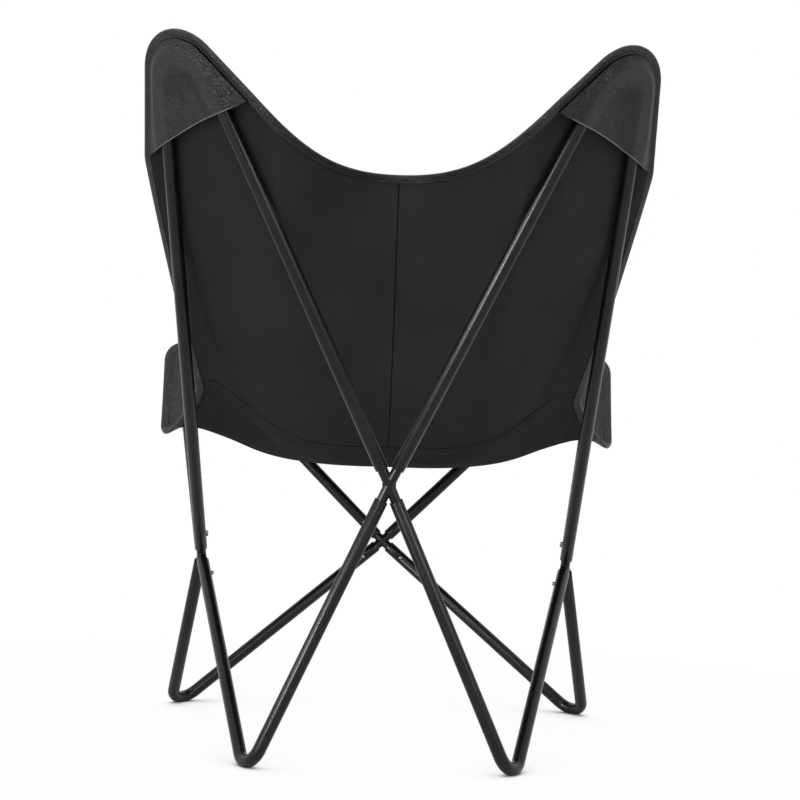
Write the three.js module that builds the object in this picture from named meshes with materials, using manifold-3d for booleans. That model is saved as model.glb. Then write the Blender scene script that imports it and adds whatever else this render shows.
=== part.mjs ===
// Butterfly sling chair: a knock-down frame of bent steel tube carrying one form-fitted sling.
// Millimetres, +Z up. The sitter faces -Y and +X is the sitter's left. The origin is on the floor.
//
// Four tall or short hoops and four V legs slide onto the stubs of four welded crosses, and a sprung
// button in every stub locks its tube. The sling's corner pockets slip over the four hoop tops.

import * as THREE from 'three';
import { mergeVertices } from 'three/addons/utils/BufferGeometryUtils.js';
import Module from 'manifold-3d';

// Frame tube
const TUBE_OUTSIDE = 16;
const TUBE_WALL = 1.5;
const HOOP_BEND_RADIUS = 41;
const FOOT_BEND_RADIUS = 26;
const FOOT_FLAT_DEPTH = 1.2;

// Centres of the welded crosses
const BACK_CROSS_Y = 272;
const BACK_CROSS_Z = 342;
const FRONT_CROSS_Y = -308;
const FRONT_CROSS_Z = 229;
const SIDE_CROSS_X = 238;
const SIDE_CROSS_Y = -58;
const SIDE_CROSS_Z = 224;

// Bend centres of the hoop tops, and of the feet seen from above
const BACK_TOP_X = 242;
const BACK_TOP_Y = 328;
const BACK_TOP_Z = 786;
const FRONT_TOP_X = 258;
const FRONT_TOP_Y = -338;
const FRONT_TOP_Z = 450;
const BACK_FOOT_X = 152;
const BACK_FOOT_Y = 218;
const FRONT_FOOT_X = 262;
const FRONT_FOOT_Y = -242;

// Stubs of the crosses, all measured along an arm from the crossing
const FIT_GAP = 0.35;
const STUB_WALL = 1;
const STUB_LENGTH = 60;
const TUBE_END_GAP = 3;
const WELD_REACH = 6;
const WELD_DEPTH = 4;

// Snap button and its leaf spring
const BUTTON_FROM_CROSSING = 36;
const BUTTON_DIAMETER = 5;
const BUTTON_PROUD = 3;
const BUTTON_DOME = 1.2;
const BUTTON_FLANGE_LIP = 0.5;
const BUTTON_FLANGE_THICKNESS = 0.8;
const SPRING_THICKNESS = 0.5;
const SPRING_WIDTH = 4;
const SPRING_HEEL = 3;
const SPRING_REACH = 12;

// Sling leather and the gap kept between sewn pieces
const PANEL_THICKNESS = 3;
const POCKET_THICKNESS = 2;
const BINDING_THICKNESS = 1.2;
const BINDING_WIDTH = 8;
const SEWN_GAP = 0.4;
const TUBE_EASE = 1.2;

// Sling outline: corners that follow the hoop tops, and the middle of each edge
const CORNER_MARGIN = 27;
const TOP_EDGE_SPREAD = 30;
const FRONT_EDGE_SPREAD = 14;
const SIDE_EDGE_SPREAD = 6.5;
const SIDE_EDGE_LEAN = 12;
const POCKET_DEPTH = 115;
const POCKET_MOUTH_TILT = 20;
const TOP_EDGE_Y = 240;
const TOP_EDGE_Z = 702;
const FRONT_EDGE_Y = -345;
const FRONT_EDGE_Z = 402;
const WAIST_X = 252;
const WAIST_Y = -80;
const WAIST_Z = 444;
const WAIST_FALL = 18;
const POCKET_EASE = 0.36;
const MIDDLE_EASE = 0.32;
const WAIST_EASE = 0.3;

// Hang of the sling: handles of its centre line, and where the back is sewn to the seat
const BACK_HANG_Y = 188;
const BACK_HANG_Z = 428;
const SEAT_HANG_Y = 30;
const SEAT_HANG_Z = 250;
const HANG_FULLNESS = 2.2;
const HOLD_START = 225;
const HOLD_END = 450;
const HOLD_BLEND = 0.3;
const SEAM_AT_EDGE = 0.605;
const SEAM_AT_CENTRE = 0.497;

// Facets
const TUBE_SIDES = 12;
const BEND_STEPS = 7;
const FOOT_PASSES = 12;
const BUTTON_SIDES = 8;
const DOME_STEPS = 2;
const PANEL_COLUMNS = 24;
const BACK_ROWS = 14;
const SEAT_ROWS = 13;
const EDGE_RINGS_SHARE = 0.11;
const POCKET_COLUMNS = 18;
const POCKET_ROWS = 6;
const POCKET_CROWDING = 1.6;
const MERGE_DISTANCE = 1e-3;
const EDGE_POINTS = 24;

const TUBE_RADIUS = TUBE_OUTSIDE / 2;
const TUBE_BORE = TUBE_RADIUS - TUBE_WALL;
const STUB_RADIUS = TUBE_BORE - FIT_GAP;
const STUB_BORE = STUB_RADIUS - STUB_WALL;
const FACET_SHARE = Math.cos(Math.PI / TUBE_SIDES);
const BUTTON_RADIUS = BUTTON_DIAMETER / 2;
const BUTTON_HOLE_RADIUS = (BUTTON_RADIUS + FIT_GAP) / Math.cos(Math.PI / BUTTON_SIDES);
const FLANGE_RADIUS = BUTTON_HOLE_RADIUS + BUTTON_FLANGE_LIP;

const wasm = await Module();
wasm.setup();

const vec = (x, y, z) => new THREE.Vector3(x, y, z);
const mirrored = (point) => vec(-point.x, point.y, point.z);
const clamp01 = (value) => Math.min(1, Math.max(0, value));

const steel = new THREE.MeshStandardMaterial({ color: 0x1c1c1d, roughness: 0.45, metalness: 0.6 });
const plated = new THREE.MeshStandardMaterial({ color: 0x9a9a98, roughness: 0.3, metalness: 1 });
const lining = new THREE.MeshStandardMaterial({ color: 0x171617, roughness: 0.95, metalness: 0 });
const leather = new THREE.MeshStandardMaterial({ color: 0x241e1b, roughness: 0.55, metalness: 0 });

const chair = new THREE.Group();

function addPiece(name, geometry, material) {
  const mesh = new THREE.Mesh(geometry, material);
  mesh.name = name;
  chair.add(mesh);
}

// Solids from geometries and back

function solidOf(geometry) {
  const bare = geometry.clone();
  bare.deleteAttribute('normal');
  bare.deleteAttribute('uv');
  const merged = mergeVertices(bare, MERGE_DISTANCE);
  const corners = merged.index.array;
  const kept = [];
  for (let i = 0; i < corners.length; i += 3) {
    const [a, b, c] = corners.slice(i, i + 3);
    if (a !== b && b !== c && c !== a) {
      kept.push(a, b, c);
    }
  }
  return new wasm.Manifold(new wasm.Mesh({
    numProp: 3,
    vertProperties: new Float32Array(merged.attributes.position.array),
    triVerts: new Uint32Array(kept),
  }));
}

function geometryOf(solid) {
  const mesh = solid.getMesh();
  const geometry = new THREE.BufferGeometry();
  geometry.setAttribute('position', new THREE.BufferAttribute(mesh.vertProperties, 3));
  geometry.setIndex(new THREE.BufferAttribute(mesh.triVerts, 1));
  geometry.computeVertexNormals();
  return geometry;
}

function rod(from, direction, start, end, radius, sides = TUBE_SIDES) {
  const geometry = new THREE.CylinderGeometry(radius, radius, end - start, sides);
  geometry.applyQuaternion(new THREE.Quaternion().setFromUnitVectors(vec(0, 1, 0), direction));
  const middle = from.clone().addScaledVector(direction, (start + end) / 2);
  geometry.translate(middle.x, middle.y, middle.z);
  return solidOf(geometry);
}

// The route of a bent tube: straight from one crossing, round a bend, straight to another crossing

class BentRoute extends THREE.Curve {
  constructor(from, to, centre, radius) {
    super();
    const toFrom = from.clone().sub(centre);
    const toEnd = to.clone().sub(centre);
    this.from = from;
    this.to = to;
    this.centre = centre;
    this.radius = radius;
    this.outward = toFrom.clone().normalize().add(toEnd.clone().normalize()).normalize().negate();
    this.plane = new THREE.Vector3().crossVectors(toFrom, toEnd).normalize();
    this.across = new THREE.Vector3().crossVectors(this.outward, this.plane).normalize();
    if (this.across.dot(toFrom) < 0) {
      this.across.negate();
    }
    const half = toFrom.angleTo(toEnd) / 2;
    this.fromAngle = Math.PI - half - Math.acos(radius / toFrom.length());
    this.toAngle = -(Math.PI - half - Math.acos(radius / toEnd.length()));
    this.fromDirection = this.bendPoint(this.fromAngle).sub(from).normalize();
    this.toDirection = this.bendPoint(this.toAngle).sub(to).normalize();
  }

  bendPoint(angle, radius = this.radius) {
    return this.centre.clone()
      .addScaledVector(this.outward, radius * Math.cos(angle))
      .addScaledVector(this.across, radius * Math.sin(angle));
  }

  trim(fromLength, toLength) {
    this.from = this.from.clone().addScaledVector(this.fromDirection, fromLength);
    this.to = this.to.clone().addScaledVector(this.toDirection, toLength);
  }

  getPoint(t, target = new THREE.Vector3()) {
    const step = t * (BEND_STEPS + 2);
    if (step <= 1) {
      return target.lerpVectors(this.from, this.bendPoint(this.fromAngle), step);
    }
    if (step >= BEND_STEPS + 1) {
      return target.lerpVectors(this.bendPoint(this.toAngle), this.to, step - BEND_STEPS - 1);
    }
    const share = (step - 1) / BEND_STEPS;
    return target.copy(this.bendPoint(THREE.MathUtils.lerp(this.fromAngle, this.toAngle, share)));
  }

  // Stations sit at the ends of the straight runs and along the bend, not at even lengths.
  getUtoTmapping(u) {
    return u;
  }
}

// Crosses, and the tubes that join them

const crosses = {
  back: { centre: vec(0, BACK_CROSS_Y, BACK_CROSS_Z), inward: vec(0, -1, 0), arms: [] },
  front: { centre: vec(0, FRONT_CROSS_Y, FRONT_CROSS_Z), inward: vec(0, 1, 0), arms: [] },
  left: { centre: vec(SIDE_CROSS_X, SIDE_CROSS_Y, SIDE_CROSS_Z), inward: vec(-1, 0, 0), arms: [] },
  right: { centre: vec(-SIDE_CROSS_X, SIDE_CROSS_Y, SIDE_CROSS_Z), inward: vec(1, 0, 0), arms: [] },
};

// A foot's bend is lowered until the tube's lowest line is the flat's depth below the floor.
function footRoute(inner, outer, x, y) {
  let height = FOOT_BEND_RADIUS + TUBE_RADIUS;
  let route;
  for (let pass = 0; pass < FOOT_PASSES; pass += 1) {
    route = new BentRoute(inner, outer, vec(x, y, height), FOOT_BEND_RADIUS);
    const drop = FOOT_BEND_RADIUS * Math.sqrt(1 - route.plane.z ** 2);
    height = drop + TUBE_RADIUS - FOOT_FLAT_DEPTH;
  }
  return route;
}

const tubes = {};
for (const [side, sign] of [['left', 1], ['right', -1]]) {
  const outer = crosses[side];
  for (const end of ['back', 'front']) {
    const inner = crosses[end];
    const top = end === 'back'
      ? vec(sign * BACK_TOP_X, BACK_TOP_Y, BACK_TOP_Z)
      : vec(sign * FRONT_TOP_X, FRONT_TOP_Y, FRONT_TOP_Z);
    const foot = end === 'back' ? [BACK_FOOT_X, BACK_FOOT_Y] : [FRONT_FOOT_X, FRONT_FOOT_Y];
    tubes[`${end}_${side}_hoop`] = {
      inner,
      outer,
      route: new BentRoute(inner.centre, outer.centre, top, HOOP_BEND_RADIUS),
    };
    tubes[`${end}_${side}_leg`] = {
      inner,
      outer,
      route: footRoute(inner.centre, outer.centre, sign * foot[0], foot[1]),
    };
  }
}

function arm(cross, direction, name) {
  const across = cross.inward.clone().addScaledVector(direction, -cross.inward.dot(direction)).normalize();
  return { name, cross, direction, inward: across };
}

for (const [name, tube] of Object.entries(tubes)) {
  tube.arms = [
    arm(tube.inner, tube.route.fromDirection, `${name}_inner`),
    arm(tube.outer, tube.route.toDirection, `${name}_outer`),
  ];
  tube.inner.arms.push(tube.arms[0]);
  tube.outer.arms.push(tube.arms[1]);
}

// Tubes stop short of the crossing where neighbouring tubes would meet.
for (const cross of Object.values(crosses)) {
  let closest = Math.PI;
  for (const one of cross.arms) {
    for (const other of cross.arms) {
      if (one !== other) {
        closest = Math.min(closest, one.direction.angleTo(other.direction));
      }
    }
  }
  cross.bareLength = TUBE_RADIUS / Math.tan(closest / 2) + TUBE_END_GAP;
}

function buttonHole({ cross, direction, inward }) {
  const seat = cross.centre.clone().addScaledVector(direction, BUTTON_FROM_CROSSING);
  return rod(seat, inward, STUB_BORE / 2, TUBE_RADIUS + BUTTON_PROUD, BUTTON_HOLE_RADIUS, BUTTON_SIDES);
}

function tubeSolid(route) {
  const section = new THREE.Shape().absarc(0, 0, TUBE_RADIUS, 0, 2 * Math.PI);
  section.holes.push(new THREE.Path().absarc(0, 0, TUBE_BORE, 0, 2 * Math.PI));
  return solidOf(new THREE.ExtrudeGeometry(section, {
    steps: BEND_STEPS + 2,
    curveSegments: TUBE_SIDES / 2,
    extrudePath: route,
  }));
}

const floorSpan = 4 * (SIDE_CROSS_X + TUBE_OUTSIDE + Math.abs(FRONT_FOOT_X) + BACK_CROSS_Y);
const floorBlock = solidOf(new THREE.BoxGeometry(floorSpan, floorSpan, TUBE_OUTSIDE)
  .translate(0, 0, -TUBE_OUTSIDE / 2));

for (const [name, tube] of Object.entries(tubes)) {
  tube.route.trim(tube.inner.bareLength, tube.outer.bareLength);
  let solid = tubeSolid(tube.route).subtract(floorBlock);
  for (const end of tube.arms) {
    solid = solid.subtract(buttonHole(end));
  }
  addPiece(name, geometryOf(solid), steel);
}

function crossSolid(cross) {
  const facing = new THREE.Vector3();
  for (const { inward } of cross.arms) {
    facing.add(inward);
  }
  const weld = new THREE.SphereGeometry(1, TUBE_SIDES, TUBE_SIDES / 2)
    .scale(STUB_RADIUS + WELD_REACH, WELD_DEPTH, STUB_RADIUS + WELD_REACH)
    .applyQuaternion(new THREE.Quaternion().setFromUnitVectors(vec(0, 1, 0), facing.normalize()))
    .translate(cross.centre.x, cross.centre.y, cross.centre.z);
  let solid = solidOf(weld);
  for (const { direction } of cross.arms) {
    solid = solid.add(rod(cross.centre, direction, 0, STUB_LENGTH, STUB_RADIUS));
  }
  for (const end of cross.arms) {
    const bored = STUB_LENGTH + STUB_WALL;
    solid = solid.subtract(rod(cross.centre, end.direction, cross.bareLength, bored, STUB_BORE));
    solid = solid.subtract(buttonHole(end));
  }
  return solid;
}

for (const [key, cross] of Object.entries(crosses)) {
  addPiece(`${key}_cross`, geometryOf(crossSolid(cross)), steel);
}

// A snap button stands on its flange inside the stub. Heights run from the stub's axis.
const boreFlat = STUB_BORE * FACET_SHARE;
const flangeTop = Math.sqrt(boreFlat ** 2 - FLANGE_RADIUS ** 2) - FIT_GAP;
const flangeBase = flangeTop - BUTTON_FLANGE_THICKNESS;
const buttonTip = TUBE_RADIUS + BUTTON_PROUD;

function buttonGeometry() {
  const shoulder = buttonTip - BUTTON_DOME;
  const profile = [
    new THREE.Vector2(0, flangeBase),
    new THREE.Vector2(FLANGE_RADIUS, flangeBase),
    new THREE.Vector2(FLANGE_RADIUS, flangeTop),
    new THREE.Vector2(BUTTON_RADIUS, flangeTop),
  ];
  for (let step = 0; step < DOME_STEPS; step += 1) {
    const angle = Math.PI / 2 * step / DOME_STEPS;
    const height = shoulder + BUTTON_DOME * Math.sin(angle);
    profile.push(new THREE.Vector2(BUTTON_RADIUS * Math.cos(angle), height));
  }
  profile.push(new THREE.Vector2(0, buttonTip));
  return new THREE.LatheGeometry(profile, BUTTON_SIDES);
}

// A leaf spring is a strip folded back under the button, resting on the far wall of the bore.
function springGeometry() {
  const top = flangeBase - FIT_GAP;
  const bottom = FIT_GAP - Math.sqrt(boreFlat ** 2 - (SPRING_WIDTH / 2) ** 2);
  const middle = (top + bottom) / 2;
  const fold = (top - bottom) / 2;
  const strip = new THREE.Shape();
  strip.moveTo(-SPRING_HEEL, top);
  strip.lineTo(SPRING_REACH, top);
  strip.absarc(SPRING_REACH, middle, fold, Math.PI / 2, -Math.PI / 2, true);
  strip.lineTo(-SPRING_HEEL, bottom);
  strip.lineTo(-SPRING_HEEL, bottom + SPRING_THICKNESS);
  strip.absarc(SPRING_REACH, middle, fold - SPRING_THICKNESS, -Math.PI / 2, Math.PI / 2, false);
  strip.lineTo(-SPRING_HEEL, top - SPRING_THICKNESS);
  return new THREE.ExtrudeGeometry(strip, { depth: SPRING_WIDTH, curveSegments: 2, bevelEnabled: false })
    .translate(0, 0, -SPRING_WIDTH / 2);
}

for (const tube of Object.values(tubes)) {
  for (const { name, cross, direction, inward } of tube.arms) {
    const place = new THREE.Matrix4()
      .makeBasis(direction, inward, new THREE.Vector3().crossVectors(direction, inward))
      .setPosition(cross.centre.clone().addScaledVector(direction, BUTTON_FROM_CROSSING));
    addPiece(`${name}_button`, geometryOf(solidOf(buttonGeometry().applyMatrix4(place))), plated);
    addPiece(`${name}_spring`, geometryOf(solidOf(springGeometry().applyMatrix4(place))), plated);
  }
}

// Sling corners. Each lies in the plane of its hoop: u runs across to the inner leg, w runs out to the tip.

class Corner {
  constructor(route, innerSpread) {
    this.route = route;
    this.facing = route.plane.z > 0 ? route.plane : route.plane.clone().negate();
    this.radius = route.radius + CORNER_MARGIN;
    this.innerAngle = route.fromAngle - THREE.MathUtils.degToRad(innerSpread);
    this.outerAngle = route.toAngle + THREE.MathUtils.degToRad(SIDE_EDGE_SPREAD);
    this.tip = route.bendPoint(0, this.radius);
    this.innerEnd = this.mouthEnd(this.innerAngle, 1);
    this.outerEnd = this.mouthEnd(this.outerAngle, -1);
  }

  place(u, w, height = 0) {
    return this.route.centre.clone()
      .addScaledVector(this.route.across, u)
      .addScaledVector(this.route.outward, w)
      .addScaledVector(this.facing, height);
  }

  heading(angle, turn) {
    return this.route.across.clone().multiplyScalar(turn * Math.cos(angle))
      .addScaledVector(this.route.outward, -turn * Math.sin(angle));
  }

  // Where an edge that leaves the corner's arc at this angle reaches the pocket's mouth.
  mouthEnd(angle, turn, radius = this.radius) {
    const slope = Math.tan(THREE.MathUtils.degToRad(POCKET_MOUTH_TILT));
    const level = this.radius - POCKET_DEPTH;
    const u = radius * Math.sin(angle);
    const w = radius * Math.cos(angle);
    const du = turn * Math.cos(angle);
    const dw = -turn * Math.sin(angle);
    const run = (level + slope * u - w) / (dw - slope * du);
    return new THREE.Vector2(u + run * du, w + run * dw);
  }

  arc(from, to, radius = this.radius) {
    const points = [];
    for (let i = 0; i <= EDGE_POINTS / 2; i += 1) {
      const angle = THREE.MathUtils.lerp(from, to, i / (EDGE_POINTS / 2));
      points.push(new THREE.Vector2(radius * Math.sin(angle), radius * Math.cos(angle)));
    }
    return points;
  }

  // From the tip, round the arc, to the end of the pocket on the inner or outer edge.
  run(inner) {
    const end = inner ? this.innerEnd : this.outerEnd;
    const flat = [...this.arc(0, inner ? this.innerAngle : this.outerAngle), end];
    return flat.map((point) => this.place(point.x, point.y));
  }

  // Height of a sheet that rises over the tube, at a distance in from the sling's edge.
  lift(distance, thickness) {
    const share = clamp01((distance - BINDING_WIDTH) / (CORNER_MARGIN - BINDING_WIDTH));
    return Math.sin(Math.PI / 2 * share) * (TUBE_RADIUS + SEWN_GAP + thickness / 2 + TUBE_EASE);
  }

  // How firmly the hoop holds the sling: fully round its top, then less and less down its legs.
  hold(point) {
    return 1 - THREE.MathUtils.smoothstep(point.distanceTo(this.tip), HOLD_START, HOLD_END);
  }

  heightOf(point) {
    return point.clone().sub(this.route.centre).dot(this.facing);
  }

  // The tube keeps the sling on the sitter's side of the hoop.
  clear(point, distance) {
    const height = this.heightOf(point);
    const wanted = this.hold(point) * this.lift(distance, PANEL_THICKNESS);
    const held = (height + wanted + Math.hypot(height - wanted, wanted * HOLD_BLEND)) / 2;
    point.addScaledVector(this.facing, held - height);
  }
}

const corners = {};
for (const side of ['left', 'right']) {
  corners[`back_${side}`] = new Corner(tubes[`back_${side}_hoop`].route, TOP_EDGE_SPREAD);
  corners[`front_${side}`] = new Corner(tubes[`front_${side}_hoop`].route, FRONT_EDGE_SPREAD);
}

// A smooth edge from the end of a pocket to the middle of that edge of the sling
function sweep(from, heading, middle, arriving, middleEase) {
  const length = from.distanceTo(middle);
  const curve = new THREE.CubicBezierCurve3(
    from,
    from.clone().addScaledVector(heading, POCKET_EASE * length),
    middle.clone().addScaledVector(arriving, -middleEase * length),
    middle,
  );
  return curve.getPoints(EDGE_POINTS).slice(1);
}

class Edge {
  constructor(points) {
    this.points = points;
    this.lengths = [0];
    for (let i = 1; i < points.length; i += 1) {
      this.lengths.push(this.lengths[i - 1] + points[i].distanceTo(points[i - 1]));
    }
  }

  at(share) {
    const wanted = clamp01(share) * this.lengths[this.lengths.length - 1];
    let i = 1;
    while (i < this.points.length - 1 && this.lengths[i] < wanted) {
      i += 1;
    }
    const part = (wanted - this.lengths[i - 1]) / (this.lengths[i] - this.lengths[i - 1]);
    return new THREE.Vector3().lerpVectors(this.points[i - 1], this.points[i], clamp01(part));
  }

  distanceTo(point) {
    let least = Infinity;
    for (let i = 1; i < this.points.length; i += 1) {
      const near = new THREE.Line3(this.points[i - 1], this.points[i])
        .closestPointToPoint(point, true, new THREE.Vector3());
      least = Math.min(least, near.distanceTo(point));
    }
    return least;
  }
}

// Edges of the left half. The top and front edges run from the tip to the middle.
const backCorner = corners.back_left;
const frontCorner = corners.front_left;
const towardRight = vec(-1, 0, 0);
const waist = vec(WAIST_X, WAIST_Y, WAIST_Z);
const alongWaist = vec(0, -1, 0).applyAxisAngle(towardRight, -THREE.MathUtils.degToRad(WAIST_FALL));

function middleEdge(corner, middle) {
  const run = corner.run(true);
  const heading = corner.heading(corner.innerAngle, 1);
  return new Edge([...run, ...sweep(run[run.length - 1], heading, middle, towardRight, MIDDLE_EASE)]);
}

const topEdge = middleEdge(backCorner, vec(0, TOP_EDGE_Y, TOP_EDGE_Z));
const frontEdge = middleEdge(frontCorner, vec(0, FRONT_EDGE_Y, FRONT_EDGE_Z));

// Past the pocket the side edge leans in towards the sitter, off the plane of the hoop.
function sideHeading(corner) {
  const lean = THREE.MathUtils.degToRad(SIDE_EDGE_LEAN);
  return corner.heading(corner.outerAngle, -1).multiplyScalar(Math.cos(lean))
    .addScaledVector(corner.facing, Math.sin(lean));
}

function sideHalf(corner, arriving) {
  const run = corner.run(false);
  return [...run, ...sweep(run[run.length - 1], sideHeading(corner), waist, arriving, WAIST_EASE)];
}

const sideEdge = new Edge([
  ...sideHalf(backCorner, alongWaist),
  ...sideHalf(frontCorner, alongWaist.clone().negate()).reverse().slice(1),
]);
const centreLine = new THREE.CubicBezierCurve3(
  vec(0, TOP_EDGE_Y, TOP_EDGE_Z),
  vec(0, BACK_HANG_Y, BACK_HANG_Z),
  vec(0, SEAT_HANG_Y, SEAT_HANG_Z),
  vec(0, FRONT_EDGE_Y, FRONT_EDGE_Z),
);

// The sling's middle surface: across runs from -1 at the right edge to 1 at the left, down from 0 at the
// top edge to 1 at the front edge. It blends its four edges and hangs from them along the centre line.
function blended(across, down) {
  const share = (1 + across) / 2;
  const half = (edge, offset) => (offset < 0 ? mirrored(edge.at(1 + offset)) : edge.at(1 - offset));
  const point = half(topEdge, across).multiplyScalar(1 - down);
  point.addScaledVector(half(frontEdge, across), down);
  const left = sideEdge.at(down);
  point.addScaledVector(left, share).addScaledVector(mirrored(left), 1 - share);
  for (const [tip, weight] of [[backCorner.tip, 1 - down], [frontCorner.tip, down]]) {
    point.addScaledVector(tip, -weight * share).addScaledVector(mirrored(tip), -weight * (1 - share));
  }
  return point;
}

function edgeDistance(point) {
  const folded = vec(Math.abs(point.x), point.y, point.z);
  return Math.min(...[topEdge, frontEdge, sideEdge].map((edge) => edge.distanceTo(folded)));
}

function slingPoint(across, down) {
  const hang = centreLine.getPointAt(down).sub(blended(0, down));
  const point = blended(across, down).addScaledVector(hang, 1 - Math.abs(across) ** HANG_FULLNESS);
  const distance = edgeDistance(point);
  for (const corner of Object.values(corners)) {
    if (corner.hold(point) > 0) {
      corner.clear(point, distance);
    }
  }
  return point;
}

// Grid of the sling. Stations crowd towards the edges, and one row follows the seam under the seat.
const ringDistances = [BINDING_WIDTH, CORNER_MARGIN - TUBE_RADIUS, CORNER_MARGIN];
const ringCells = ringDistances.length + 1;
const lastRow = BACK_ROWS + SEAT_ROWS;
const middleColumn = PANEL_COLUMNS / 2;

function nearEdge(index, count) {
  if (index < ringCells) {
    return EDGE_RINGS_SHARE * (index / ringCells) ** 2;
  }
  return THREE.MathUtils.lerp(EDGE_RINGS_SHARE, 1, (index - ringCells) / (count - ringCells));
}

function stationPoint(row, column) {
  const across = column < middleColumn
    ? nearEdge(column, middleColumn) - 1
    : 1 - nearEdge(PANEL_COLUMNS - column, middleColumn);
  const seam = THREE.MathUtils.lerp(SEAM_AT_CENTRE, SEAM_AT_EDGE, across ** 2);
  const down = row < BACK_ROWS
    ? seam * nearEdge(row, BACK_ROWS)
    : 1 - (1 - seam) * nearEdge(lastRow - row, SEAT_ROWS);
  return slingPoint(across, down);
}

const rows = [];
for (let row = 0; row <= lastRow; row += 1) {
  const points = [];
  for (let column = 0; column <= PANEL_COLUMNS; column += 1) {
    points.push(stationPoint(row, column));
  }
  rows.push(points);
}

// Stations of the border, from the right tip along the top, the left, the front and the right edge
const border = [];
for (let column = 0; column < PANEL_COLUMNS; column += 1) {
  border.push([0, column]);
}
for (let row = 0; row < lastRow; row += 1) {
  border.push([row, PANEL_COLUMNS]);
}
for (let column = PANEL_COLUMNS; column > 0; column -= 1) {
  border.push([lastRow, column]);
}
for (let row = lastRow; row > 0; row -= 1) {
  border.push([row, 0]);
}

const inRing = ([row, column], ring) => [
  THREE.MathUtils.clamp(row, ring, lastRow - ring),
  THREE.MathUtils.clamp(column, ring, PANEL_COLUMNS - ring),
];
const at = ([row, column]) => rows[row][column];
const borderPoint = (k) => at(border[(k + border.length) % border.length]);
const isTip = (k) => border[k][0] % lastRow === 0 && border[k][1] % PANEL_COLUMNS === 0;

// Rings at set distances in from the border carry the binding, the rise to the tube and the tube itself.
// Near a tip several stations share one ring point, and the tip's own comes last.
const ringOrder = [...border.keys()].sort((one, other) => isTip(one) - isTip(other));
for (const k of ringOrder) {
  const foot = borderPoint(k);
  const along = borderPoint(k + 1).clone().sub(borderPoint(k - 1)).normalize();
  const inward = at(inRing(border[k], ringCells)).clone().sub(foot);
  for (const corner of Object.values(corners)) {
    const raised = THREE.MathUtils.smoothstep(corner.heightOf(foot), 0, TUBE_RADIUS);
    const level = corner.hold(foot) * (1 - raised);
    inward.addScaledVector(corner.facing, -level * inward.dot(corner.facing));
  }
  inward.divideScalar(new THREE.Vector3().crossVectors(inward, along).length());
  ringDistances.forEach((distance, ring) => {
    const point = at(inRing(border[k], ring + 1)).copy(foot).addScaledVector(inward, distance);
    for (const corner of Object.values(corners)) {
      if (corner.hold(point) > 0) {
        corner.clear(point, distance);
      }
    }
  });
}

function gridNormals(grid) {
  const normals = grid.map((line) => line.map(() => new THREE.Vector3()));
  for (let i = 0; i + 1 < grid.length; i += 1) {
    for (let j = 0; j + 1 < grid[i].length; j += 1) {
      const one = grid[i + 1][j + 1].clone().sub(grid[i][j]);
      const two = grid[i + 1][j].clone().sub(grid[i][j + 1]);
      const face = two.cross(one);
      for (const [a, b] of [[i, j], [i + 1, j], [i, j + 1], [i + 1, j + 1]]) {
        normals[a][b].add(face);
      }
    }
  }
  return normals.map((line) => line.map((normal) => normal.normalize()));
}

// A closed sheet of even thickness on a grid of points. The diagonals of its first columns are turned,
// so that the sling's right half mirrors its left.
function sheetGeometry(grid, normals, thickness, turnedColumns) {
  const last = grid.length - 1;
  const end = grid[0].length - 1;
  const positions = [];
  const index = [];
  for (const side of [0.5, -0.5]) {
    grid.forEach((line, i) => line.forEach((point, j) => {
      positions.push(...point.clone().addScaledVector(normals[i][j], side * thickness).toArray());
    }));
  }
  const face = (i, j) => i * (end + 1) + j;
  const under = (last + 1) * (end + 1);
  const quad = (a, b, c, d) => index.push(a, b, c, a, c, d);
  for (let i = 0; i < last; i += 1) {
    for (let j = 0; j < end; j += 1) {
      const ring = [face(i, j), face(i + 1, j), face(i + 1, j + 1), face(i, j + 1)];
      if (j < turnedColumns) {
        ring.push(ring.shift());
      }
      quad(...ring);
      quad(ring[0] + under, ring[3] + under, ring[2] + under, ring[1] + under);
    }
  }
  const border = [];
  for (let j = 0; j < end; j += 1) {
    border.push(face(0, j));
  }
  for (let i = 0; i < last; i += 1) {
    border.push(face(i, end));
  }
  for (let j = end; j > 0; j -= 1) {
    border.push(face(last, j));
  }
  for (let i = last; i > 0; i -= 1) {
    border.push(face(i, 0));
  }
  border.forEach((a, k) => {
    const b = border[(k + 1) % border.length];
    quad(a, b, b + under, a + under);
  });
  const geometry = new THREE.BufferGeometry();
  geometry.setAttribute('position', new THREE.Float32BufferAttribute(positions, 3));
  geometry.setIndex(index);
  return geometry;
}

const slingNormals = gridNormals(rows);

// Sewn edges stop a gap short of the seam.
function panel(name, [firstRow, lastRow], [firstColumn, lastColumn]) {
  const cut = (table) => table.slice(firstRow, lastRow + 1)
    .map((line) => line.slice(firstColumn, lastColumn + 1).map((value) => value.clone()));
  const grid = cut(rows);
  const pull = (point, toward) => {
    const step = toward.clone().sub(point).normalize();
    point.addScaledVector(step, SEWN_GAP);
  };
  const end = grid[0].length - 1;
  const last = grid.length - 1;
  if (lastColumn === middleColumn) {
    grid.forEach((line) => pull(line[end], line[end - 1]));
  }
  if (firstColumn === middleColumn) {
    grid.forEach((line) => pull(line[0], line[1]));
  }
  if (lastRow === BACK_ROWS) {
    grid[last].forEach((point, j) => pull(point, grid[last - 1][j]));
  }
  if (firstRow === BACK_ROWS) {
    grid[0].forEach((point, j) => pull(point, grid[1][j]));
  }
  const turnedColumns = Math.max(0, middleColumn - firstColumn);
  const solid = solidOf(sheetGeometry(grid, cut(slingNormals), PANEL_THICKNESS, turnedColumns));
  addPiece(name, geometryOf(solid), lining);
}

panel('back_panel_right', [0, BACK_ROWS], [0, middleColumn]);
panel('back_panel_left', [0, BACK_ROWS], [middleColumn, PANEL_COLUMNS]);
panel('seat_panel', [BACK_ROWS, lastRow], [0, PANEL_COLUMNS]);

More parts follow.
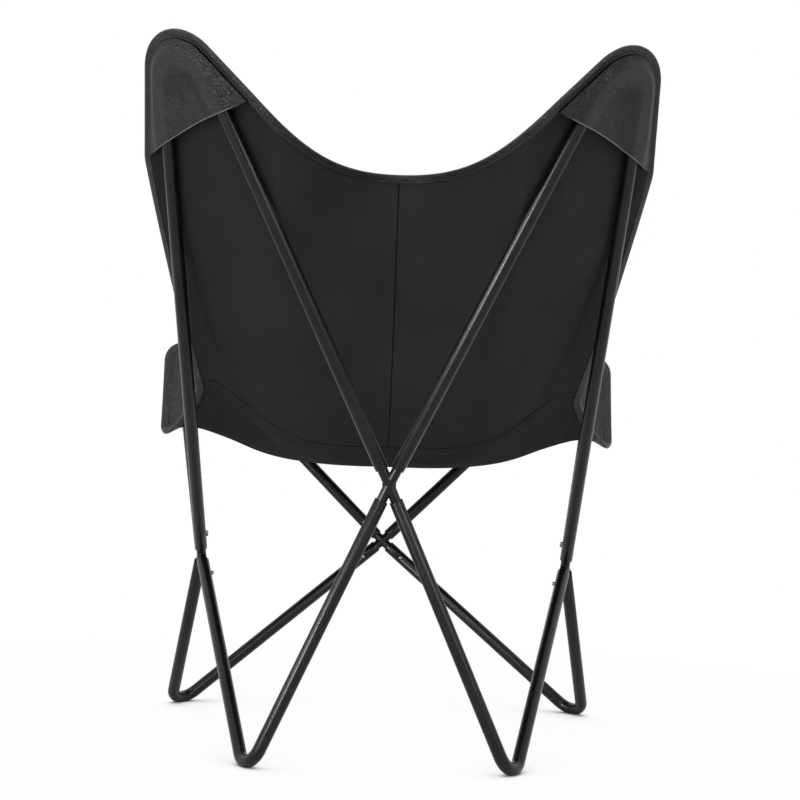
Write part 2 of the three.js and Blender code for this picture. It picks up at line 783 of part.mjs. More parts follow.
// The binding is a strip folded over the whole edge of the sling, from its border to the first ring.
function bindingGeometry() {
  const inside = PANEL_THICKNESS / 2 + SEWN_GAP;
  const outside = inside + BINDING_THICKNESS;
  const rim = SEWN_GAP + BINDING_THICKNESS;
  const section = [
    [false, 0, outside],
    [true, rim, outside],
    [true, rim, -outside],
    [false, 0, -outside],
    [false, 0, -inside],
    [true, SEWN_GAP, -inside],
    [true, SEWN_GAP, inside],
    [false, 0, inside],
  ];
  const innerRim = section.length / 2 + 1;
  const positions = [];
  const index = [];
  border.forEach((station, k) => {
    const out = at(station).clone().sub(at(inRing(station, 1))).normalize();
    for (const [onBorder, reach, height] of section) {
      const [row, column] = onBorder ? station : inRing(station, 1);
      const point = rows[row][column].clone().addScaledVector(out, reach);
      positions.push(...point.addScaledVector(slingNormals[row][column], height).toArray());
    }
    const nextColumn = border[(k + 1) % border.length][1];
    const onSide = station[1] === nextColumn;
    const onRight = Math.min(station[1], nextColumn) < middleColumn;
    for (let m = 0; m < section.length; m += 1) {
      const next = (m + 1) % section.length;
      const here = k * section.length;
      const there = ((k + 1) % border.length) * section.length;
      // Inner faces share the diagonals of the panels that they lie on, the inner rim those of their edges.
      if (m !== innerRim && (m < innerRim) === (onSide !== onRight)) {
        index.push(here + m, there + m, there + next, here + m, there + next, here + next);
      } else {
        index.push(here + m, there + m, here + next, there + m, there + next, here + next);
      }
    }
  });
  const geometry = new THREE.BufferGeometry();
  geometry.setAttribute('position', new THREE.Float32BufferAttribute(positions, 3));
  geometry.setIndex(index);
  return geometry;
}

addPiece('edge_binding', geometryOf(solidOf(bindingGeometry())), leather);

// A pocket is sewn to the panel just inside the binding and lies over the hoop's outer side.
function pocketGeometry(corner) {
  const sewn = BINDING_WIDTH + 3.5 * SEWN_GAP + POCKET_THICKNESS;
  const line = (distance) => {
    const radius = corner.radius - distance;
    const flat = [
      corner.mouthEnd(corner.outerAngle, -1, radius),
      ...corner.arc(corner.outerAngle, corner.innerAngle, radius),
      corner.mouthEnd(corner.innerAngle, 1, radius),
    ];
    return new Edge(flat.map((point) => vec(point.x, point.y, 0)));
  };
  const rim = line(sewn);
  const rise = line(CORNER_MARGIN - TUBE_RADIUS);
  const mouth = [rise.at(0), rise.at(1)];
  const low = PANEL_THICKNESS / 2 + SEWN_GAP + POCKET_THICKNESS / 2;
  const riseLift = Math.max(low, corner.lift(CORNER_MARGIN - TUBE_RADIUS, POCKET_THICKNESS));
  const fullLift = corner.lift(CORNER_MARGIN, POCKET_THICKNESS);
  const grid = [];
  for (let row = 0; row <= POCKET_ROWS; row += 1) {
    const points = [];
    for (let column = 0; column <= POCKET_COLUMNS; column += 1) {
      const share = column / POCKET_COLUMNS;
      if (row === 0) {
        const { x, y } = rim.at(share);
        points.push(corner.place(x, y, -low));
        continue;
      }
      const inner = ((row - 1) / (POCKET_ROWS - 1)) ** POCKET_CROWDING;
      const across = vec(0, 0, 0).lerpVectors(mouth[0], mouth[1], share);
      const { x, y } = rise.at(share).lerp(across, inner);
      const overTube = clamp01(rise.at(share).distanceTo(vec(x, y, 0)) / TUBE_RADIUS);
      points.push(corner.place(x, y, -THREE.MathUtils.lerp(riseLift, fullLift, overTube)));
    }
    grid.push(points);
  }
  return sheetGeometry(grid, gridNormals(grid), POCKET_THICKNESS, POCKET_COLUMNS / 2);
}

for (const [name, corner] of Object.entries(corners)) {
  const solid = solidOf(pocketGeometry(corner));
  addPiece(`${name}_pocket`, geometryOf(solid), leather);
}

export default chair;
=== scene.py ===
"""Butterfly sling chair: a frame of satin black tube, and a hanging sling of lined leather.

Metres, +Z up. The sitter faces -Y, +X is the sitter's left, and the origin is on the floor.
"""
import math

import bmesh
import bpy
import numpy as np
from mathutils import Matrix, Vector, noise


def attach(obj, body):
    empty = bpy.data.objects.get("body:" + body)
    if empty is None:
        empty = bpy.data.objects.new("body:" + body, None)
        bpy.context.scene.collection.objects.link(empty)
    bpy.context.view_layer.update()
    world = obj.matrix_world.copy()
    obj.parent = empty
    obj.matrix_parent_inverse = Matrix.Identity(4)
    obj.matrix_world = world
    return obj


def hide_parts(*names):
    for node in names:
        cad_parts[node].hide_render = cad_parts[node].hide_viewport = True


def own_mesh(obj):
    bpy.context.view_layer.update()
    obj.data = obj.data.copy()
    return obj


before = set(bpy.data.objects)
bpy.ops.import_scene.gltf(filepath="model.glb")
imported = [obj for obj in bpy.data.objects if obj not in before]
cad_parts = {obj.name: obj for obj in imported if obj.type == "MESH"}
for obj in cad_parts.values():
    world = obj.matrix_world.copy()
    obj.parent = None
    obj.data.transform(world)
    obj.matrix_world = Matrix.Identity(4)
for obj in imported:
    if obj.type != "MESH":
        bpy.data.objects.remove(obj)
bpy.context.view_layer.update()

# Frame tube
TUBE_RADIUS = 0.008
TUBE_WALL = 0.0015
HOOP_BEND_RADIUS = 0.041
FOOT_BEND_RADIUS = 0.026
FOOT_FLAT_DEPTH = 0.0012
TUBE_SIDES = 48
BEND_STEPS = 28
TUBE_END_ROUND = 0.0003
EDGE_ROUND = 0.0001
SHARP_EDGE = math.radians(50)
METAL_SMOOTH = math.radians(35)
MERGE_REACH = 1e-6

# Centres of the welded crosses
BACK_CROSS = (0.0, 0.272, 0.342)
FRONT_CROSS = (0.0, -0.308, 0.229)
SIDE_CROSS = (0.238, -0.058, 0.224)

# Bend centres of the hoop tops, and of the feet seen from above
BACK_TOP = (0.242, 0.328, 0.786)
FRONT_TOP = (0.258, -0.338, 0.450)
BACK_FOOT = (0.152, 0.218)
FRONT_FOOT = (0.262, -0.242)
FOOT_PASSES = 12

# Stubs of the crosses, all measured along an arm from the crossing
FIT_GAP = 0.00035
STUB_WALL = 0.001
STUB_LENGTH = 0.060
TUBE_END_GAP = 0.003
STUB_RADIUS = TUBE_RADIUS - TUBE_WALL - FIT_GAP
STUB_BORE = STUB_RADIUS - STUB_WALL
WELD_REACH = 0.0022
WELD_DEPTH = 0.0045
KNOT_ARM = 0.034
KNOT_REACH = 0.026
KNOT_VOXEL = 0.00042
KNOT_SMOOTHING = 10
CUT_TOLERANCE = 1e-5

# Snap button and its leaf spring, with heights from the stub's axis
BUTTON_FROM_CROSSING = 0.036
BUTTON_RADIUS = 0.0025
BUTTON_PROUD = 0.003
BUTTON_DOME = 0.0013
BUTTON_HOLE_RADIUS = BUTTON_RADIUS + FIT_GAP
BUTTON_SIDES = 32
FACING_UP = 0.9
FLANGE_RADIUS = 0.0035
FLANGE_TOP = 0.0031
FLANGE_THICKNESS = 0.0008
FLANGE_BASE = FLANGE_TOP - FLANGE_THICKNESS
SPRING_THICKNESS = 0.0005
SPRING_WIDTH = 0.004
SPRING_HEEL = 0.003
SPRING_REACH = 0.012
SPRING_TOP = FLANGE_BASE - FIT_GAP
SPRING_BOTTOM = -0.0042

# Sling: leather, lining and binding
PANEL_THICKNESS = 0.003
POCKET_THICKNESS = 0.002
BINDING_WIDTH = 0.008
SEWN_GAP = 0.0004
TUBE_EASE = 0.0012
SEAM_ROUND = 0.0018
SEAM_GAP = -0.0001
SEAM_STEPS = (1, 0.6, 0.3, 0.1, 0)
SEAM_THIN = 0.35
CLOTH_SMOOTH = math.radians(60)
WEAVE_PITCH = 0.0011

# Sling outline: corners that follow the hoop tops, and the middle of each edge
CORNER_MARGIN = 0.027
TOP_EDGE_SPREAD = math.radians(30)
FRONT_EDGE_SPREAD = math.radians(14)
SIDE_EDGE_SPREAD = math.radians(6.5)
SIDE_EDGE_LEAN = math.radians(12)
POCKET_DEPTH = 0.115
POCKET_MOUTH_SLOPE = math.tan(math.radians(20))
TOP_EDGE_MIDDLE = (0.0, 0.240, 0.702)
FRONT_EDGE_MIDDLE = (0.0, -0.345, 0.402)
WAIST = (0.252, -0.080, 0.444)
WAIST_FALL = math.radians(18)
POCKET_EASE = 0.36
MIDDLE_EASE = 0.32
WAIST_EASE = 0.3
EDGE_POINTS = 96

# Hang of the sling: handles of its centre line, and where the back is sewn to the seat
BACK_HANG = (0.0, 0.188, 0.428)
SEAT_HANG = (0.0, 0.030, 0.250)
HANG_FULLNESS = 2.2
HOLD_START = 0.225
HOLD_END = 0.450
HOLD_BLEND = 0.3
SEAM_AT_EDGE = 0.605
SEAM_AT_CENTRE = 0.497

# Fineness of the sling
HALF_COLUMNS = 96
BACK_ROWS = 104
SEAT_ROWS = 96
EDGE_CROWDING = 0.5
POCKET_COLUMNS = 120
POCKET_ROWS = 56

# Slack of the seat below its seam
FOLD_HEIGHT = 0.0011
FOLD_WIDTH = 0.0075
FOLD_RISE = FOLD_WIDTH / 4
FOLD_END = 1.4 * FOLD_WIDTH
CREASE_HEIGHT = 0.0027
CREASE_WIDTH = 0.013
CREASE_LENGTH = 0.45
CREASE_REACH = 0.13
CREASE_FADE = 0.75
CREASE_SLICE = 0.7
FINE_CREASE_SHARE = 0.5
FINE_CREASE_SCALE = 2.3

# Folded binding: points of its section, as distances in from the edge and heights off the cloth
BINDING_FACE = (
    (0.0086, 0.0017), (0.0088, 0.0021), (0.0085, 0.0025), (0.0072, 0.0026),
    (0.0062, 0.0023), (0.0052, 0.0026), (0.0036, 0.0030), (0.0018, 0.0031),
)
BINDING_INSIDE = ((0.0004, -0.0016), (-0.0003, 0.0), (0.0004, 0.0016))
NOSE_REACH = 0.0016
NOSE_HEIGHT = 0.0031
NOSE_ANGLES = (0, 20, 40, 60, 80)
BORDER_REACH = 60
BORDER_EASE = 3
STITCH_PITCH = 0.0042
STITCH_LENGTH = 0.0032
STITCH_WIDTH = 0.0008
STITCH_INSET = 0.0062
STITCH_HEIGHT = 0.0024
STITCH_SMOOTH = math.radians(80)

# Pockets
POCKET_INSET = 0.0093
POCKET_RIM_SHARE = 0.2
POCKET_CROWDING = 1.5
POCKET_CLIMB = 0.0135
POCKET_SAG = 0.006
POCKET_SAG_REACH = 0.022
CREASE_OVER_TUBE = 0.3
MOUTH_CURVE = 0.005
MOUTH_BARE_ROWS = 3
WRINKLE_HEIGHT = 0.0013
WRINKLE_SCALE = 28.0
FINE_WRINKLE_HEIGHT = 0.0005
FINE_WRINKLE_SCALE = 75.0
FINE_WRINKLE_SHIFT = (3, 1, 7)

# Camera that took the photograph
IMAGE_PIXELS = 800
FOCAL_PIXELS = 2218.5
SENSOR_WIDTH = 36.0
CAMERA_PLACE = (0.0316, 2.8418, 0.4893)
CAMERA_YAW = math.radians(-0.91)
CAMERA_PITCH = math.radians(1.08)
CAMERA_ROLL = math.radians(1.93)

# Studio: white paper that shows contact shadows near the chair only
WHITE = (1, 1, 1, 1)
PAPER = (0.9, 0.9, 0.9, 1)
SOFT_LIGHT = 0.45
FLOOR_SIZE = 40.0
FLOOR_FADE = (0.5, 1.0)
SHADOW_REACH = 0.16
SHADOW_RANGE = (0.25, 0.95)
NEAR_WHITE = 0.97

# Lamps: place, size and power. The glints show in reflections only
LAMP_AIM = (0, 0, 0.45)
LAMPS = {
    "overhead": ((0.3, 0.6, 2.6), (1.2, 1.2), 28.0),
    "left_strip": ((1.87, 2.14, 0.90), (0.3, 1.6), 8.0),
    "right_strip": ((-2.2, 2.0, 1.0), (0.4, 1.5), 12.0),
    "front": ((0.5, 3.4, 1.5), (1.0, 1.0), 28.0),
    "left_glint": ((1.87, 2.14, 0.45), (0.35, 0.8), 64.0),
    "side_glint": ((2.58, 0.98, 1.00), (0.4, 0.8), 20.0),
    "right_glint": ((-1.5, 2.3, 1.2), (0.2, 0.9), 18.0),
}

TINY = 1e-12
BODY = "chair"
SIDES = {"left": 1.0, "right": -1.0}


# Modelling by hand


def begin(primitive, name, stretch=(1, 1, 1), **settings):
    """Add a primitive with its place applied, so that its mesh lies in the chair's own frame."""
    bpy.ops.object.select_all(action="DESELECT")
    primitive(**settings)
    piece = bpy.context.object
    piece.name = name
    piece.scale = stretch
    bpy.ops.object.transform_apply(location=True, rotation=True, scale=True)
    return piece


def open_edit(selected):
    bpy.ops.object.mode_set(mode="EDIT")
    bpy.ops.mesh.select_all(action="SELECT" if selected else "DESELECT")


def close_edit():
    bpy.ops.object.mode_set(mode="OBJECT")


def select(piece, kind, wanted):
    """Select the vertices ("verts") or the faces ("faces") that pass a test."""
    mesh = bmesh.from_edit_mesh(piece.data)
    for element in getattr(mesh, kind):
        element.select_set(wanted(element))
    mesh.select_flush(True)
    bmesh.update_edit_mesh(piece.data)


def extrude(offset):
    bpy.ops.mesh.extrude_region_move(TRANSFORM_OT_translate={"value": Vector(offset)})


def tidy_normals():
    bpy.ops.mesh.select_all(action="SELECT")
    bpy.ops.mesh.remove_doubles(threshold=MERGE_REACH)
    bpy.ops.mesh.normals_make_consistent(inside=False)


def modify(piece, kind, **settings):
    """Add a modifier and apply it."""
    bpy.context.view_layer.objects.active = piece
    modifier = piece.modifiers.new(kind.title(), kind)
    for key, value in settings.items():
        setattr(modifier, key, value)
    bpy.ops.object.modifier_apply(modifier=modifier.name)


def round_edges(piece, width):
    modify(piece, "BEVEL", width=width, segments=2, limit_method="ANGLE", angle_limit=SHARP_EDGE)


def join(pieces):
    bpy.ops.object.select_all(action="DESELECT")
    for piece in pieces:
        piece.select_set(True)
    bpy.context.view_layer.objects.active = pieces[0]
    bpy.ops.object.join()
    return pieces[0]


def smooth(piece, angle=METAL_SMOOTH):
    bpy.ops.object.select_all(action="DESELECT")
    piece.select_set(True)
    bpy.context.view_layer.objects.active = piece
    bpy.ops.object.shade_smooth_by_angle(angle=angle)


def add_object(name, data):
    thing = bpy.data.objects.new(name, data)
    bpy.context.collection.objects.link(thing)
    return thing


def copy_of(piece, name, place):
    mesh = piece.data.copy()
    mesh.name = name
    mesh.transform(place)
    return add_object(name, mesh)


def discard(piece):
    mesh = piece.data
    bpy.data.objects.remove(piece)
    bpy.data.meshes.remove(mesh)


def pointing(direction):
    """The turn that lays a primitive's Z axis along a direction."""
    return Vector(direction).to_track_quat("Z", "Y").to_euler()


def rod(name, sides, radius, length, middle, direction):
    return begin(
        bpy.ops.mesh.primitive_cylinder_add, name, vertices=sides, radius=radius, depth=length,
        location=middle, rotation=pointing(direction),
    )


def finish_piece(piece, node, slot, *finishes):
    for finish in finishes:
        piece.data.materials.append(finish)
    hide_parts(node)


# Geometry shared by the frame and the sling


def vec(*numbers):
    return np.array(numbers, float)


def unit(vectors):
    return vectors / np.maximum(np.linalg.norm(vectors, axis=-1, keepdims=True), TINY)


def angle_between(one, other):
    return math.acos(float(np.clip(np.dot(unit(one), unit(other)), -1, 1)))


def smoothstep(value, low, high):
    share = np.clip((value - low) / (high - low), 0, 1)
    return share * share * (3 - 2 * share)


class BentRoute:
    """Straight from one crossing, round a bend, straight to another crossing."""

    def __init__(self, start, end, centre, radius):
        to_start = start - centre
        to_end = end - centre
        self.start, self.end, self.centre, self.radius = start, end, centre, radius
        self.outward = -unit(unit(to_start) + unit(to_end))
        self.plane = unit(np.cross(to_start, to_end))
        self.across = unit(np.cross(self.outward, self.plane))
        if self.across @ to_start < 0:
            self.across = -self.across
        half = angle_between(to_start, to_end) / 2
        self.start_angle = math.pi - half - math.acos(radius / np.linalg.norm(to_start))
        self.end_angle = half - math.pi + math.acos(radius / np.linalg.norm(to_end))
        self.bend_start = self.bend_point(self.start_angle)
        self.bend_end = self.bend_point(self.end_angle)
        self.start_direction = unit(self.bend_start - start)
        self.end_direction = unit(self.bend_end - end)

    def bend_point(self, angle, radius=None):
        reach = self.radius if radius is None else radius
        heading = math.cos(angle) * self.outward + math.sin(angle) * self.across
        return self.centre + reach * heading

    def trim(self, start_length, end_length):
        self.start = self.start + start_length * self.start_direction
        self.end = self.end + end_length * self.end_direction


class Arm:
    """One stub of a cross, with the side of it that its button stands on."""

    def __init__(self, name, cross, direction):
        self.name, self.cross, self.direction = name, cross, direction
        across = cross.inward - (cross.inward @ direction) * direction
        self.inward = unit(across)
        cross.arms.append(self)

    def at(self, length, height=0.0):
        return self.cross.centre + length * self.direction + height * self.inward

    def place(self):
        """From the button's own frame (X along the arm, Z out through the hole) to the chair's."""
        side = np.cross(self.inward, self.direction)
        turn = Matrix(np.column_stack([self.direction, side, self.inward]).tolist()).to_4x4()
        return Matrix.Translation(Vector(self.at(BUTTON_FROM_CROSSING))) @ turn


class Cross:
    def __init__(self, centre, inward):
        self.centre, self.inward, self.arms = vec(*centre), vec(*inward), []

    def bare_length(self):
        """Tubes stop short of the crossing where neighbouring tubes would meet."""
        pairs = [(a, b) for a in self.arms for b in self.arms if a is not b]
        closest = min(angle_between(a.direction, b.direction) for a, b in pairs)
        return TUBE_RADIUS / math.tan(closest / 2) + TUBE_END_GAP


def mirrored(point, sign):
    return vec(sign * point[0], *point[1:])


def foot_route(inner, outer, foot):
    """A foot's bend is lowered until its lowest line is the flat's depth below the floor."""
    height = FOOT_BEND_RADIUS + TUBE_RADIUS
    for _ in range(FOOT_PASSES):
        route = BentRoute(inner, outer, vec(*foot, height), FOOT_BEND_RADIUS)
        drop = FOOT_BEND_RADIUS * math.sqrt(1 - route.plane[2] ** 2)
        height = drop + TUBE_RADIUS - FOOT_FLAT_DEPTH
    return route


def lay_out_frame():
    """The four crosses, and the route and two arms of every tube."""
    crosses = {
        "back": Cross(BACK_CROSS, (0, -1, 0)),
        "front": Cross(FRONT_CROSS, (0, 1, 0)),
        "left": Cross(SIDE_CROSS, (-1, 0, 0)),
        "right": Cross(mirrored(SIDE_CROSS, -1), (1, 0, 0)),
    }
    tubes = {}
    for side, sign in SIDES.items():
        for end, top, foot in [("back", BACK_TOP, BACK_FOOT), ("front", FRONT_TOP, FRONT_FOOT)]:
            inner, outer = crosses[end], crosses[side]
            hoop = BentRoute(inner.centre, outer.centre, mirrored(top, sign), HOOP_BEND_RADIUS)
            leg = foot_route(inner.centre, outer.centre, mirrored(foot, sign))
            for kind, route in [("hoop", hoop), ("leg", leg)]:
                name = f"{end}_{side}_{kind}"
                arms = [
                    Arm(f"{name}_inner", inner, route.start_direction),
                    Arm(f"{name}_outer", outer, route.end_direction),
                ]
                tubes[name] = (route, arms)
    for route, (inner, outer) in tubes.values():
        route.trim(inner.cross.bare_length(), outer.cross.bare_length())
    return crosses, tubes


# Materials


class Wire:
    """An output socket of a material. Arithmetic on it adds Math nodes."""

    def __init__(self, tree, socket=None):
        self.tree, self.socket = tree, socket

    def node(self, kind, sockets=None, output=0, **settings):
        """Add a node: its settings first, then the values or links of its sockets."""
        node = self.tree.nodes.new(f"ShaderNode{kind}")
        for key, value in settings.items():
            setattr(node, key, value)
        for key, value in (sockets or {}).items():
            if isinstance(value, Wire):
                self.tree.links.new(value.socket, node.inputs[key])
            else:
                node.inputs[key].default_value = value
        return Wire(self.tree, node.outputs[output] if len(node.outputs) else None)

    def out(self, name):
        return Wire(self.tree, self.socket.node.outputs[name])

    def math(self, operation, *values):
        """A Math node on this value and others."""
        return self.node("Math", dict(enumerate([self, *values])), operation=operation)

    def __add__(self, other):
        return self.math("ADD", other)

    def __sub__(self, other):
        return self.math("SUBTRACT", other)

    def __mul__(self, other):
        return self.math("MULTIPLY", other)

    def __rsub__(self, other):
        return self.node("Math", {0: other, 1: self}, operation="SUBTRACT")

    __radd__ = __add__
    __rmul__ = __mul__

    def ramp(self, low, high):
        """0 up to low, 1 from high, smooth between them."""
        sockets = {"Value": self, "From Min": low, "From Max": high}
        return self.node("MapRange", sockets, interpolation_type="SMOOTHSTEP")

    def mix(self, first, second):
        """A colour between two others, by this value, through the node's colour sockets."""
        return self.node("Mix", {0: self, 6: first, 7: second}, output=2, data_type="RGBA")

    def noise(self, scale, detail, roughness=0.5, distortion=0.0):
        """Cloudy noise: its scale is in spots to the metre, its detail in octaves."""
        values = {"Vector": self, "Scale": scale, "Detail": detail, "Roughness": roughness}
        return self.node("TexNoise", {**values, "Distortion": distortion})

    def cells(self, scale, smoothness):
        """Distances to the middles of scattered cells, for pebbled grain."""
        sockets = {"Vector": self, "Scale": scale, "Smoothness": smoothness}
        return self.node("TexVoronoi", sockets, "Distance", feature="SMOOTH_F1")

    def stretched(self, *scales):
        return self.node("VectorMath", {0: self, 1: scales}, operation="MULTIPLY")

    def bump(self, strength, distance):
        """A normal for this height, with its strength as a share and its depth in metres."""
        return self.node("Bump", {"Strength": strength, "Distance": distance, "Height": self})


def new_finish(name):
    """An empty material, and the wire of its object coordinates."""
    material = bpy.data.materials.new(name)
    material.use_nodes = True
    material.node_tree.nodes.clear()
    place = Wire(material.node_tree).node("TexCoord", output="Object")
    return material, place


def coat(place, **sockets):
    """Close a material with one Principled surface."""
    named = {key.replace("_", " "): value for key, value in sockets.items()}
    surface = place.node("BsdfPrincipled", named)
    place.node("OutputMaterial", {"Surface": surface})


def colour(red, green, blue):
    return (red, green, blue, 1.0)


def powder_coat():
    """Satin black paint with a fine orange peel, a little dust and uneven sheen."""
    material, place = new_finish("powder_coat")
    patches = place.noise(26.0, 5.0, 0.6)
    specks = place.noise(1500.0, 2.0).ramp(0.66, 0.8)
    peel = place.noise(700.0, 2.0, 0.4)
    dark, light = colour(0.0050, 0.0048, 0.0045), colour(0.0085, 0.0081, 0.0074)
    shade = patches.ramp(0.35, 0.7).mix(dark, light)
    coat(
        place,
        Base_Color=(specks * 0.12).mix(shade, colour(0.050, 0.048, 0.044)),
        Roughness=0.21 + 0.14 * patches + 0.04 * specks,
        Specular_IOR_Level=0.22,
        Normal=peel.bump(0.015, 0.0003),
    )
    return material


def plated_steel():
    """Dull zinc plate with fine brushing and a few dark spots."""
    material, place = new_finish("plated_steel")
    brushed = place.stretched(1.0, 1.0, 6.0).noise(2500.0, 3.0)
    spots = place.noise(900.0, 3.0, 0.6).ramp(0.55, 0.75)
    coat(
        place,
        Base_Color=spots.mix(colour(0.20, 0.195, 0.19), colour(0.09, 0.087, 0.083)),
        Metallic=1.0,
        Roughness=0.26 + 0.2 * brushed,
        Normal=brushed.bump(0.1, 0.0001),
    )
    return material


def lining_cloth():
    """Black cotton canvas: a close plain weave, slubs, faint fading, a fine nap and painted seam
    shade.
    """
    material, place = new_finish("lining_cloth")
    flat = place.node("UVMap", uv_map="flat")
    sheet = place.node("SeparateXYZ", {"Vector": flat})
    warp, weft = ((sheet.out(axis) * (2 * math.pi / WEAVE_PITCH)).math("SINE") for axis in "XY")
    slubs = flat.stretched(60.0, 900.0, 1.0).noise(1.0, 3.0, 0.6)
    fading = place.noise(7.0, 5.0, 0.62)
    nap = place.noise(1900.0, 3.0, 0.6)
    dark, light = colour(0.0228, 0.0222, 0.0221), colour(0.0290, 0.0282, 0.0280)
    shade = fading.ramp(0.3, 0.75).mix(dark, light)
    threads = (slubs.ramp(0.55, 0.8) * 0.35).mix(shade, colour(0.0280, 0.0270, 0.0268))
    # Painted shade: the colour goes almost black where the sheet thins at its rounded sewn edges,
    # standing in for shade in the seam groove.
    painted_seam_shade = place.node("Attribute", output="Fac", attribute_name="painted_seam_shade")
    coat(
        place,
        Base_Color=painted_seam_shade.ramp(0.0, 0.3).mix(threads, colour(0.0030, 0.0029, 0.0029)),
        Roughness=0.86 + 0.12 * nap,
        Specular_IOR_Level=0.03,
        Normal=(warp * weft * 0.5 + nap + slubs * 0.6).bump(0.3, 0.0003),
    )
    return material


def oiled_leather():
    """Oiled leather: pebbled grain, pull-up patches, fine creases with painted shade in them, and
    rubbed high spots.
    """
    material, place = new_finish("leather")
    patches = place.noise(15.0, 6.0, 0.6, 0.4)
    grain = place.cells(460.0, 0.3)
    pores = place.noise(1400.0, 3.0, 0.6)
    creases = place.stretched(1.0, 1.0, 2.6).noise(85.0, 7.0, 0.62, 0.5)
    lines = 1 - (creases - 0.5).math("ABSOLUTE").ramp(0.0, 0.045)
    rubbed = grain.ramp(0.1, 0.5) * 0.4 + patches.ramp(0.45, 0.8) * 0.6
    shade = rubbed.mix(colour(0.0066, 0.0051, 0.0043), colour(0.0145, 0.0118, 0.0105))
    relief = (1 - grain) * 0.9 + pores * 0.4 - lines * 0.35
    coat(
        place,
        # Painted shade: the colour darkens along the fine crease lines, where the bump sinks.
        Base_Color=(lines * 0.4).mix(shade, colour(0.0033, 0.00255, 0.00215)),
        Roughness=0.20 + 0.14 * patches + 0.08 * pores,
        Specular_IOR_Level=0.22,
        Normal=relief.bump(0.75, 0.0012),
    )
    return material


def cut_edge():
    """The raw edge of leather: dry, pale fibres."""
    material, place = new_finish("cut_edge")
    fibres = place.noise(1800.0, 4.0, 0.65)
    coat(
        place,
        Base_Color=fibres.mix(colour(0.070, 0.065, 0.061), colour(0.280, 0.262, 0.248)),
        Roughness=0.7 + 0.2 * fibres,
        Normal=fibres.bump(0.4, 0.0003),
    )
    return material


def sewing_thread():
    """Waxed black thread with its twist."""
    material, place = new_finish("sewing_thread")
    twist = place.noise(2600.0, 2.0)
    coat(
        place,
        Base_Color=twist.mix(colour(0.006, 0.0058, 0.0056), colour(0.026, 0.025, 0.024)),
        Roughness=0.42 + 0.2 * twist,
        Normal=twist.bump(0.3, 0.0002),
    )
    return material


# Frame


def bent_tube(name, route):
    """A circle run straight, spun round the bend and run straight again, then given its wall."""
    tube = begin(
        bpy.ops.mesh.primitive_circle_add, f"{name}_tube", vertices=TUBE_SIDES, radius=TUBE_RADIUS,
        location=route.start, rotation=pointing(route.start_direction),
    )
    open_edit(selected=True)
    extrude(route.bend_start - route.start)
    side = np.cross(route.bend_start - route.centre, route.start_direction)
    bpy.ops.mesh.spin(
        steps=BEND_STEPS,
        angle=route.start_angle - route.end_angle,
        center=route.centre,
        axis=-unit(side),
    )
    extrude(route.end - route.bend_end)
    tidy_normals()
    close_edit()
    modify(tube, "SOLIDIFY", thickness=TUBE_WALL, offset=-1.0)
    return tube


def drill(piece, arms):
    """Cut the button holes of these arms."""
    length = TUBE_RADIUS + BUTTON_PROUD - STUB_BORE / 2
    cutters = []
    for arm in arms:
        middle = arm.at(BUTTON_FROM_CROSSING, STUB_BORE / 2 + length / 2)
        cutters.append(rod("drill", BUTTON_SIDES, BUTTON_HOLE_RADIUS, length, middle, arm.inward))
    cutter = join(cutters)
    modify(piece, "BOOLEAN", operation="DIFFERENCE", object=cutter, solver="EXACT")
    discard(cutter)


def flatten_foot(tube):
    """Grind a small flat where the bend stands on the floor."""
    bpy.context.view_layer.objects.active = tube
    open_edit(selected=True)
    bpy.ops.mesh.bisect(plane_co=(0, 0, 0), plane_no=(0, 0, 1), use_fill=True, clear_inner=True)
    close_edit()


def make_tubes(tubes, paint):
    for name, (route, arms) in tubes.items():
        tube = bent_tube(name, route)
        drill(tube, arms)
        if name.endswith("leg"):
            flatten_foot(tube)
        round_edges(tube, TUBE_END_ROUND)
        smooth(tube)
        finish_piece(tube, name, "powder_coat", paint)
        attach(tube, BODY)


def weld_knot(name, cross):
    """Four short rods and a flat bead of weld, melted into one by a fine remesh."""
    rods = [
        rod(name, TUBE_SIDES, STUB_RADIUS, KNOT_ARM, arm.at(KNOT_ARM / 2), arm.direction)
        for arm in cross.arms
    ]
    facing = unit(sum(arm.inward for arm in cross.arms))
    reach = STUB_RADIUS + WELD_REACH
    bead = begin(
        bpy.ops.mesh.primitive_uv_sphere_add, "bead", (reach, reach, WELD_DEPTH),
        segments=TUBE_SIDES, ring_count=TUBE_SIDES // 2, radius=1.0,
        location=cross.centre, rotation=pointing(facing),
    )
    knot = join([*rods, bead])
    modify(knot, "REMESH", mode="VOXEL", voxel_size=KNOT_VOXEL, use_smooth_shade=True)
    modify(knot, "SMOOTH", factor=0.5, iterations=KNOT_SMOOTHING)
    return knot


def at_cut(place, arm):
    """Whether a point is on the ring where an arm's rod was cut."""
    offset = np.array(place) - arm.at(KNOT_REACH)
    return abs(offset @ arm.direction) < CUT_TOLERANCE and np.linalg.norm(offset) < TUBE_RADIUS


def make_crosses(crosses, paint):
    for key, cross in crosses.items():
        knot = weld_knot(f"{key}_cross_weldment", cross)
        bare = cross.bare_length()
        for arm in cross.arms:
            open_edit(selected=True)
            cut = arm.at(KNOT_REACH)
            bpy.ops.mesh.bisect(plane_co=cut, plane_no=arm.direction, clear_outer=True)
            close_edit()
        for arm in cross.arms:
            open_edit(selected=False)
            select(knot, "verts", lambda vertex: at_cut(vertex.co, arm))
            extrude((STUB_LENGTH - KNOT_REACH) * arm.direction)
            extrude((0, 0, 0))
            shrink = STUB_BORE / STUB_RADIUS
            bpy.ops.transform.resize(value=(shrink,) * 3, center_override=arm.at(STUB_LENGTH))
            extrude((bare - STUB_LENGTH) * arm.direction)
            bpy.ops.mesh.edge_face_add()
            close_edit()
        open_edit(selected=True)
        tidy_normals()
        close_edit()
        drill(knot, cross.arms)
        smooth(knot)
        finish_piece(knot, f"{key}_cross", "powder_coat", paint)
        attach(knot, BODY)


